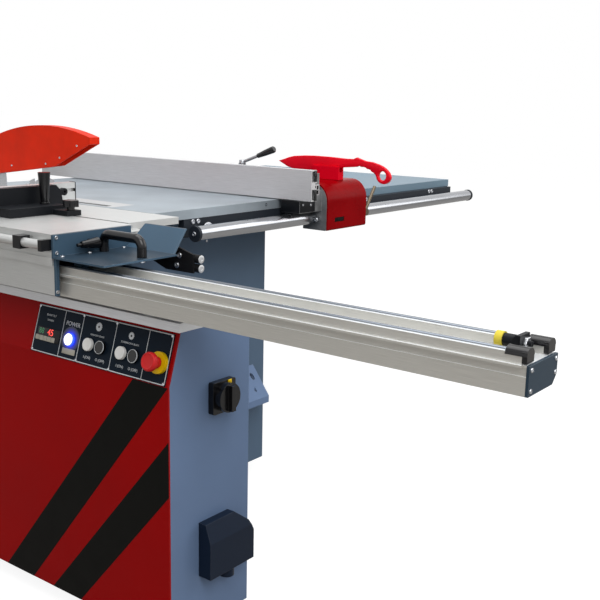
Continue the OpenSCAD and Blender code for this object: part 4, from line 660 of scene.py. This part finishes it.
def glowFinish():
    mat, tree, shader = newFinish("lampGlow")
    coord = tree.nodes.new("ShaderNodeTexCoord")
    away = tree.nodes.new("ShaderNodeVectorMath")
    away.operation = "DISTANCE"
    away.inputs[1].default_value = onPanel(*film["lamp"], film["lift"])
    tree.links.new(coord.outputs["Object"], away.inputs[0])
    near = spread(tree, away.outputs["Value"], 1, 0, glow["inner"] / 1000, glow["outer"] / 1000)
    power = tree.nodes.new("ShaderNodeMath")
    power.operation = "POWER"
    power.inputs[1].default_value = glow["falloff"]
    tree.links.new(near, power.inputs[0])
    tinted(tree, shader, grain(tree, glow["grain"]), glow["film"], glow["tint"])
    shader.inputs["Emission Color"].default_value = toLinear(glow["rgb"])
    tree.links.new(power.outputs[0], shader.inputs["Emission Strength"])
    shader.inputs["Roughness"].default_value = glow["rough"]
    return mat


def powerLamp():
    at = panelPlace(*film["lamp"], lamp["lift"])
    turnedPiece("lampRing", "frame", "panel_face", lampRing, [at], inks["lampBlue"])
    turnedPiece("lampLens", "frame", "white_plastic", lampLens, [at], inks["lampWhite"])
    inner, rim, skin = glow["inner"], glow["rim"], glow["skin"]
    bm = bmesh.new()
    addTurned(bm, [(inner, 0), (rim, 0), (rim, skin), (inner, skin), (inner, 0)], at, glow["sides"])
    settle(bm, "lampGlow", "frame", "panel_face", glowFinish(), smooth=False)
    bm = bmesh.new()
    panelBox(bm, lamp["tag"], lamp["tagRise"], lamp["lift"])
    settle(bm, "lampTag", "frame", "panel_face", inks["keyGrey"], lamp["tagRound"])


# pale rims on the black buttons, dished faces on the white ones, in steps from a button's upper edge
buttons = {"bodies": ("start", "stop", "scoring_start", "scoring_stop"),
           "radius": 13.5, "top": 8.3, "sides": 40,
           "rim": [(-0.9, 0), (-0.72, 0.4), (0, 0.3), (0.3, -0.6), (0, -1.2), (-0.9, 0)],
           "cap": [(-13.5, -0.1), (-0.1, -0.1), (-0.3, 0.3), (-1, 0.6), (-3, 0.7), (-6, 0.4), (-13.5, 0.3)]}


def buttonFaces():
    for i, body in enumerate(buttons["bodies"]):
        black = i % 2
        steps = buttons["rim"] if black else buttons["cap"]
        style = {"sides": buttons["sides"],
                 "profile": [(buttons["radius"] + r, buttons["top"] + h) for r, h in steps]}
        turnedPiece(body + ("Rim" if black else "Cap"), body, "white_plastic", style,
                    [panelPlace(*film["buttons"][i])], inks["white"] if black else None)


# emergency stop: a turned mushroom with a rounded rim and a sunk face
mushroom = {"sides": 56, "profile": [(0, -1), (10.8, -1), (10.8, 21.2), (15, 22), (18, 23.4), (19, 25.6),
                                     (19, 31.8), (18.5, 33.8), (17, 35.4), (15.2, 36), (14.2, 35.4),
                                     (12, 35), (0, 35)]}


def stopMushroom():
    head = turnedPiece("stopMushroom", "estop", "stop_plastic", mushroom, [panelPlace(*film["stop"])])
    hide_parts("estop_button")


controlFilm()
tiltReadout()
powerLamp()
buttonFaces()
stopMushroom()
print("control panel dressed")

# black diagonal stripes on the red side, corners in mm along Y and Z
stripes = {"skin": 0.25, "bands": [
    [(-730, 592), (-828, 592), (-383, 43), (-283, 43)],
    [(-829, 481.6), (-829, 365), (-550, 43), (-454, 43)],
]}


def sideStripes():
    bm = bmesh.new()
    for band in stripes["bands"]:
        inner = [bm.verts.new(spot(slopeSkin, y, z)) for y, z in band]
        outer = [bm.verts.new(spot(slopeSkin - stripes["skin"], y, z)) for y, z in band]
        bm.faces.new(outer)
        bm.faces.new(inner[::-1])
        for i in range(len(band)):
            j = (i + 1) % len(band)
            bm.faces.new((inner[i], inner[j], outer[j], outer[i]))
    settle(bm, "sideStripes", "frame", "red_panel", inks["black"], smooth=False)


sideStripes()
print("stripes set")

# push stick: the CAD outline with moulded round edges
stickStyle = {"round": 0.0024, "segments": 3, "bulge": 0.5, "weld": 1e-6, "flat": 1, "side": 0.9}


def mouldedStick():
    cad = nodes["push_stick"]
    bm = bmesh.new()
    bm.from_mesh(cad.data)
    bm.transform(cad.matrix_world)
    bmesh.ops.remove_doubles(bm, verts=bm.verts, dist=stickStyle["weld"])
    flat = math.radians(stickStyle["flat"])
    bmesh.ops.dissolve_limit(bm, angle_limit=flat, verts=bm.verts, edges=bm.edges)
    # the edges between a broad side and the narrow face round it
    rims = [e for e in bm.edges if len(e.link_faces) == 2
            and sum(abs(f.normal.x) > stickStyle["side"] for f in e.link_faces) == 1]
    bmesh.ops.bevel(bm, geom=rims, offset=stickStyle["round"], segments=stickStyle["segments"],
                    affect="EDGES", profile=stickStyle["bulge"])
    stick = settle(bm, "mouldedStick", "stick", "red_plastic")
    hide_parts("push_stick")


# fence clamp lever: steel hub and rod, black grip
lever = {"hub": (500.3, -266, 953.3), "pivotRise": 7, "lean": 20}
leverHub = {"sides": 12, "profile": [(0, 0), (10.4, 0), (11, 0.8), (11, 5), (9.4, 6), (9.4, 12.6), (8.4, 14),
                                     (4.4, 14), (4, 13), (0, 13)]}
leverRod = {"sides": 24, "profile": [(0, 6), (4.5, 6), (4.5, 65), (0, 65)]}
leverGrip = {"sides": 32, "profile": [(0, 62), (5.6, 62), (6.6, 63.5), (8.6, 92), (9.8, 120), (9.2, 125),
                                      (6.5, 128), (0, 128)]}


def clampLever():
    x, y, z = lever["hub"]
    lean = math.radians(lever["lean"])
    along = facing(spot(x, y, z + lever["pivotRise"]), (0, -math.cos(lean), math.sin(lean)))
    bm = bmesh.new()
    addTurned(bm, leverHub["profile"], facing(spot(x, y, z), (0, 0, 1)), leverHub["sides"])
    addTurned(bm, leverRod["profile"], along, leverRod["sides"])
    steel = settle(bm, "leverSteel", "rip_clamp", "chrome_rail")
    turnedPiece("leverGrip", "rip_clamp", "black_plastic", leverGrip, [along])
    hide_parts("fence_clamp_lever")


mouldedStick()
clampLever()
print("stick and lever shaped")

# nuts behind the bumpers, one at each end of the beam
bumperNut = {"x": -347, "y": 1542.5, "z": 806, "sides": 6, "radius": 10.2, "depth": 7.2, "round": 0.0008}


def bumperNuts():
    bm = bmesh.new()
    for end in (-1, 1):
        at = facing(spot(bumperNut["x"], end * bumperNut["y"], bumperNut["z"]), (0, end, 0))
        addPlate(bm, polygonRing(bumperNut["sides"], bumperNut["radius"]), bumperNut["depth"], at)
    settle(bm, "bumperNuts", "frame", "bright_steel", bevel=bumperNut["round"])


# bright end faces of the carriage's two buffers
bufferFace = {"x": -170, "y": -733, "zs": (810, 790), "sides": 36,
              "profile": [(0, 0), (8.6, 0), (8.6, 1), (7.6, 1.6), (3.4, 1.6), (3, 1.1), (0, 1.1)]}


def bufferFaces():
    places = [facing(spot(bufferFace["x"], bufferFace["y"], z), (0, -1, 0)) for z in bufferFace["zs"]]
    turnedPiece("bufferFaces", "carriage", "insert_aluminium", bufferFace, places)


# nut and washer of the rail's stud
railNut = {"at": (150.4, -468, 815), "sides": 6, "radius": 15, "depth": 12, "round": 0.001}
railWasher = {"sides": 36, "profile": [(0, 11), (19, 11), (19, 14), (17, 15), (0, 15)]}


def studNut():
    at = facing(spot(*railNut["at"]), (0, 1, 0))
    bm = bmesh.new()
    addPlate(bm, polygonRing(railNut["sides"], railNut["radius"]), railNut["depth"], at)
    addTurned(bm, railWasher["profile"], at, railWasher["sides"])
    settle(bm, "studNut", "frame", "bright_steel", bevel=railNut["round"])


# tapped hole in the table's front edge, lined in black as a painted shade for its depth
tappedHole = {"at": (394.4, -445, 859), "sides": 24,
              "profile": [(0, -4), (2.8, -4), (2.8, 0.1), (4.2, 0.3), (3.2, 0.15), (0, -3)]}


def edgeHole():
    at = facing(spot(*tappedHole["at"]), (0, -1, 0))
    # the hole's black lining is a painted shade
    turnedPiece("edgeHole", "frame", "cast_table", tappedHole, [at], inks["black"])


# dark sheets on the fence bridge and over the slots at the fence plate's end, a painted shade where these
# lie in shadow
bridge = {"blocks": [((447, 515), (-522.7, -521.5), (838, 869)),
                     ((445, 446), (-521.5, -457.5), (837, 869.6))], "round": 0.0003}
plateEnd = {"blocks": [((454, 465.6), (-564.2, -563), z) for z in ((874, 904), (926, 956))], "round": 0.0004}

# open end of the carrier's drawn profile: its walls along X and Z, and dark sheets over the cells between
# them as a painted shade for the hollows
carrier = {"face": -521.5, "wallRise": 1.0, "cellRise": 0.4, "cells": ((499, 531), (885, 909)),
           "walls": [((496, 534), (882, 885)), ((496, 534), (909, 912)), ((496, 499), (885, 909)),
                     ((519, 522), (885, 909)), ((531, 534), (885, 909)), ((522, 531), (896, 898))]}


def bridgePlate():
    # dark sheets standing in for shade: a painted shade on the bridge and over the plate's slots
    blockPiece("bridgePlate", "rip_head", "black_paint", bridge["blocks"], bevel=bridge["round"])
    blockPiece("plateEndCap", "rip_plate", "black_plastic", plateEnd["blocks"], bevel=plateEnd["round"])
    face = carrier["face"]
    walls = [(x, (face - carrier["wallRise"], face), z) for x, z in carrier["walls"]]
    blockPiece("carrierRim", "rip_head", "fence_aluminium", walls, smooth=False)
    # the cells are covered with black as a painted shade for the hollow profile
    x, z = carrier["cells"]
    cells = [(x, (face - carrier["cellRise"], face), z)]
    blockPiece("carrierCells", "rip_head", "black_paint", cells, inks["black"], smooth=False)


# knurled pin at the left of the fence head
pin = {"at": (548, -513, 812), "ridges": 20, "radius": 7, "root": 6.3, "depth": 14}
pinCap = {"sides": 28, "profile": [(0, 13.8), (6, 13.8), (6, 15), (5, 16), (3, 16), (2.6, 14.6), (0, 14.6)]}


def headPin():
    at = facing(spot(*pin["at"]), (-1, 0, 0))
    bm = bmesh.new()
    addPlate(bm, polygonRing(pin["ridges"], pin["radius"], pin["root"]), pin["depth"], at)
    addTurned(bm, pinCap["profile"], at, pinCap["sides"])
    settle(bm, "headPin", "rip_head", "bright_steel", smooth=False)


# dark reading window of the fence cover, and the yellow mark over the switch
readingWindow = {"blocks": [((584.6, 630.4), (-542.4, -540.6), (803.6, 815.4)),
                            ((596, 606), (-542.8, -542.2), (807, 812))], "round": 0.0004}
yellowMark = {"blocks": [((-209, -198), (-846.5, -844), (568.5, 577.5))], "round": 0.001}


def coverWindow():
    blockPiece("coverWindow", "rip_head", "black_paint", readingWindow["blocks"], inks["black"],
               readingWindow["round"])


def switchMark():
    blockPiece("switchMark", "frame", "yellow_plastic", yellowMark["blocks"], bevel=yellowMark["round"])


# flanged nuts under the push handle's feet
handleNut = {"x": -300, "ys": (-578, -692), "z": 821, "sides": 24,
             "profile": [(0, 0), (10, 0), (10, 1.4), (7, 1.6), (6.4, 6), (0, 6)]}


def handleNuts():
    places = [facing(spot(handleNut["x"], y, handleNut["z"]), (0, 0, -1)) for y in handleNut["ys"]]
    turnedPiece("handleNuts", "carriage", "bright_steel", handleNut, places)


bumperNuts()
bufferFaces()
studNut()
edgeHole()
bridgePlate()
headPin()
coverWindow()
switchMark()
handleNuts()
print("fittings set")

# crosscut fence: end caps and the ear of the flip stop's hinge
fenceCap = {"ends": ((-656.2, -654), (-75, -72.8)), "y": (-216, -192), "z": (876, 932), "round": 0.0008}
ear = {"at": (-124, -231, 912), "sides": 32, "web": ((-140, -131), (-236, -226), (904, 919)),
       "profile": [(3.6, -6), (9, -6), (9, 5), (8, 6), (3.6, 6), (3.6, -6)]}


def crosscutCaps():
    caps = [(x, fenceCap["y"], fenceCap["z"]) for x in fenceCap["ends"]]
    blockPiece("crosscutCaps", "crosscut", "black_plastic", caps, bevel=fenceCap["round"])
    bm = bmesh.new()
    addTurned(bm, ear["profile"], facing(spot(*ear["at"]), (0, -1, 0)), ear["sides"])
    addBlock(bm, *ear["web"])
    settle(bm, "hingeEar", "crosscut", "black_paint")


crosscutCaps()
print("crosscut fence dressed")

# screws on every plate that the eye comes near: body, radius, places and the way they face
bothWays = (-1, 1)
coverSpots = ((-390, 780), (-304, 780), (-390, 749), (-304, 759))
barSpots = (105, 124, 499, 517, 893, 911, 1287, 1305)
shelfSpots = ((-334, -572), (-238, -570), (-404, -572))
guardSpots = ((-155, 1016), (-85, 982), (-27, 963), (120, 950), (210, 950))
frontPlateSpots = ((-411, 863), (-411, 832), (-411, 752))
rearPlateSpots = ((-411, 863), (-300, 863), (-220, 863), (-411, 832))
screwSets = {
    "coverScrews": ("frame", 3.8, [((x, way * 1575, z), (0, way, 0))
                                   for way in bothWays for x, z in coverSpots]),
    "barScrews": ("frame", 6.5, [((x, -445, 838), (0, -1, 0)) for x in barSpots]),
    "railScrews": ("frame", 6.0, [((66, -488, 815), (-1, 0, 0)), ((1497, -488, 815), (1, 0, 0))]),
    "guardScrews": ("guard", 2.8, [((way * 16, y, z), (way, 0, 0))
                                   for way in bothWays for y, z in guardSpots]),
    "plateScrews": ("carriage", 4.2, [((x, -563, z), (0, -1, 0)) for x, z in frontPlateSpots]
                    + [((x, 1049, z), (0, 1, 0)) for x, z in rearPlateSpots]),
    "shelfScrews": ("carriage", 4.5, [((x, y, 825), (0, 0, 1)) for x, y in shelfSpots]),
    "bufferBolts": ("carriage", 6.5, [((-182, y, z), (-1, 0, 0)) for y, z in ((-682, 815), (-674, 793))]),
    "bridgeScrews": ("rip_head", 3.4, [((x, -522.7, z), (0, -1, 0)) for x, z in ((459, 860), (495, 857))]),
    "cabinetBolt": ("frame", 4.0, [((279, -330, 759), (0, -1, 0))]),
    "doorScrews": ("door", 5.0, [((536, y, z), (1, 0, 0)) for y in (-185, 185) for z in (175, 625)]),
}
filmScrew = {"radius": 3, "at": [(4.5, 4.5), (4.5, 99.5), (149.7, 99.5), (251.7, 99.5), (409.5, 99.5),
                                 (409.5, 4.5), (149.7, 4.5), (251.7, 4.5)]}


def allScrews():
    shape = screwShape()
    for name, (body, radius, spots) in screwSets.items():
        setOnSpots(name, body, [(spot(*p), out) for p, out in spots], radius / 1000, shape, "bright_steel")
    onFilm = [(onPanel(*p, film["lift"]), slopeOut) for p in filmScrew["at"]]
    setOnSpots("filmScrews", "frame", onFilm, filmScrew["radius"] / 1000, shape, "bright_steel")
    bpy.data.objects.remove(shape)


allScrews()
print("screws set")

# floor and light: each lamp has its power, size, place and aim
studio = {"reach": 40, "depth": 0.02, "floor": (150, 146, 140), "floorSeen": (245, 245, 245),
          "floorRough": 0.9, "floorShown": 0.74, "floorMirrored": 0.25, "floorGlow": 1.21, "sky": 0.38,
          "lamps": {"keyLamp": (135, 3.0, (-2.4, -3.6, 4.0), (-0.5, -0.4, 0.7)),
                    "fillLamp": (50, 3.0, (3.2, -3.2, 2.6), (0.2, -0.2, 0.7)),
                    "topLamp": (100, 3.4, (-0.2, -0.4, 4.6), (-0.2, -0.2, 0.8))}}


def seenRays(tree, mirrored=1.0):
    # 1 where the eye looks straight, a share of it where a mirror or glass looks
    path = tree.nodes.new("ShaderNodeLightPath")
    total = path.outputs["Is Camera Ray"]
    for name in ("Is Glossy Ray", "Is Transmission Ray"):
        larger = tree.nodes.new("ShaderNodeMath")
        larger.operation = "MAXIMUM"
        tree.links.new(total, larger.inputs[0])
        tree.links.new(spread(tree, path.outputs[name], 0, mirrored, 0, 1), larger.inputs[1])
        total = larger.outputs[0]
    return total


def studioFloor():
    bm = bmesh.new()
    reach = studio["reach"]
    addBox(bm, (-reach, -reach, -studio["depth"]), (reach, reach, 0))
    bmesh.ops.recalc_face_normals(bm, faces=bm.faces)
    mesh = bpy.data.meshes.new("studioFloor")
    bm.to_mesh(mesh)
    bm.free()
    floor = bpy.data.objects.new("studioFloor", mesh)
    scene.collection.objects.link(floor)
    mat, tree, shader = newFinish("paleFloor")
    paper = blendColours(tree, seenRays(tree, 0), toLinear(studio["floor"]), toLinear(studio["floorSeen"]))
    tree.links.new(paper, shader.inputs["Base Color"])
    shader.inputs["Roughness"].default_value = studio["floorRough"]
    white = tree.nodes.new("ShaderNodeEmission")
    share = tree.nodes.new("ShaderNodeMath")
    share.operation = "MULTIPLY"
    share.inputs[1].default_value = studio["floorShown"]
    mix = tree.nodes.new("ShaderNodeMixShader")
    tree.links.new(seenRays(tree, studio["floorMirrored"]), share.inputs[0])
    tree.links.new(share.outputs[0], mix.inputs["Fac"])
    tree.links.new(shader.outputs["BSDF"], mix.inputs[1])
    tree.links.new(white.outputs["Emission"], mix.inputs[2])
    tree.links.new(mix.outputs["Shader"], tree.nodes["Material Output"].inputs["Surface"])
    white.inputs["Strength"].default_value = studio["floorGlow"]
    mesh.materials.append(mat)


def studioLight():
    world = bpy.data.worlds.new("studioWorld")
    world.use_nodes = True
    scene.world = world
    tree = world.node_tree
    back = tree.nodes["Background"]
    back.inputs["Color"].default_value = (1, 1, 1, 1)
    tree.links.new(spread(tree, seenRays(tree), studio["sky"], 1, 0, 1), back.inputs["Strength"])
    for name, (power, size, at, aim) in studio["lamps"].items():
        data = bpy.data.lights.new(name, "AREA")
        data.energy = power
        data.size = size
        light = bpy.data.objects.new(name, data)
        light.location = at
        light.rotation_euler = (Vector(aim) - Vector(at)).to_track_quat("-Z", "Y").to_euler()
        scene.collection.objects.link(light)


studioFloor()
studioLight()
scene.view_settings.view_transform = "Standard"
print("studio ready")
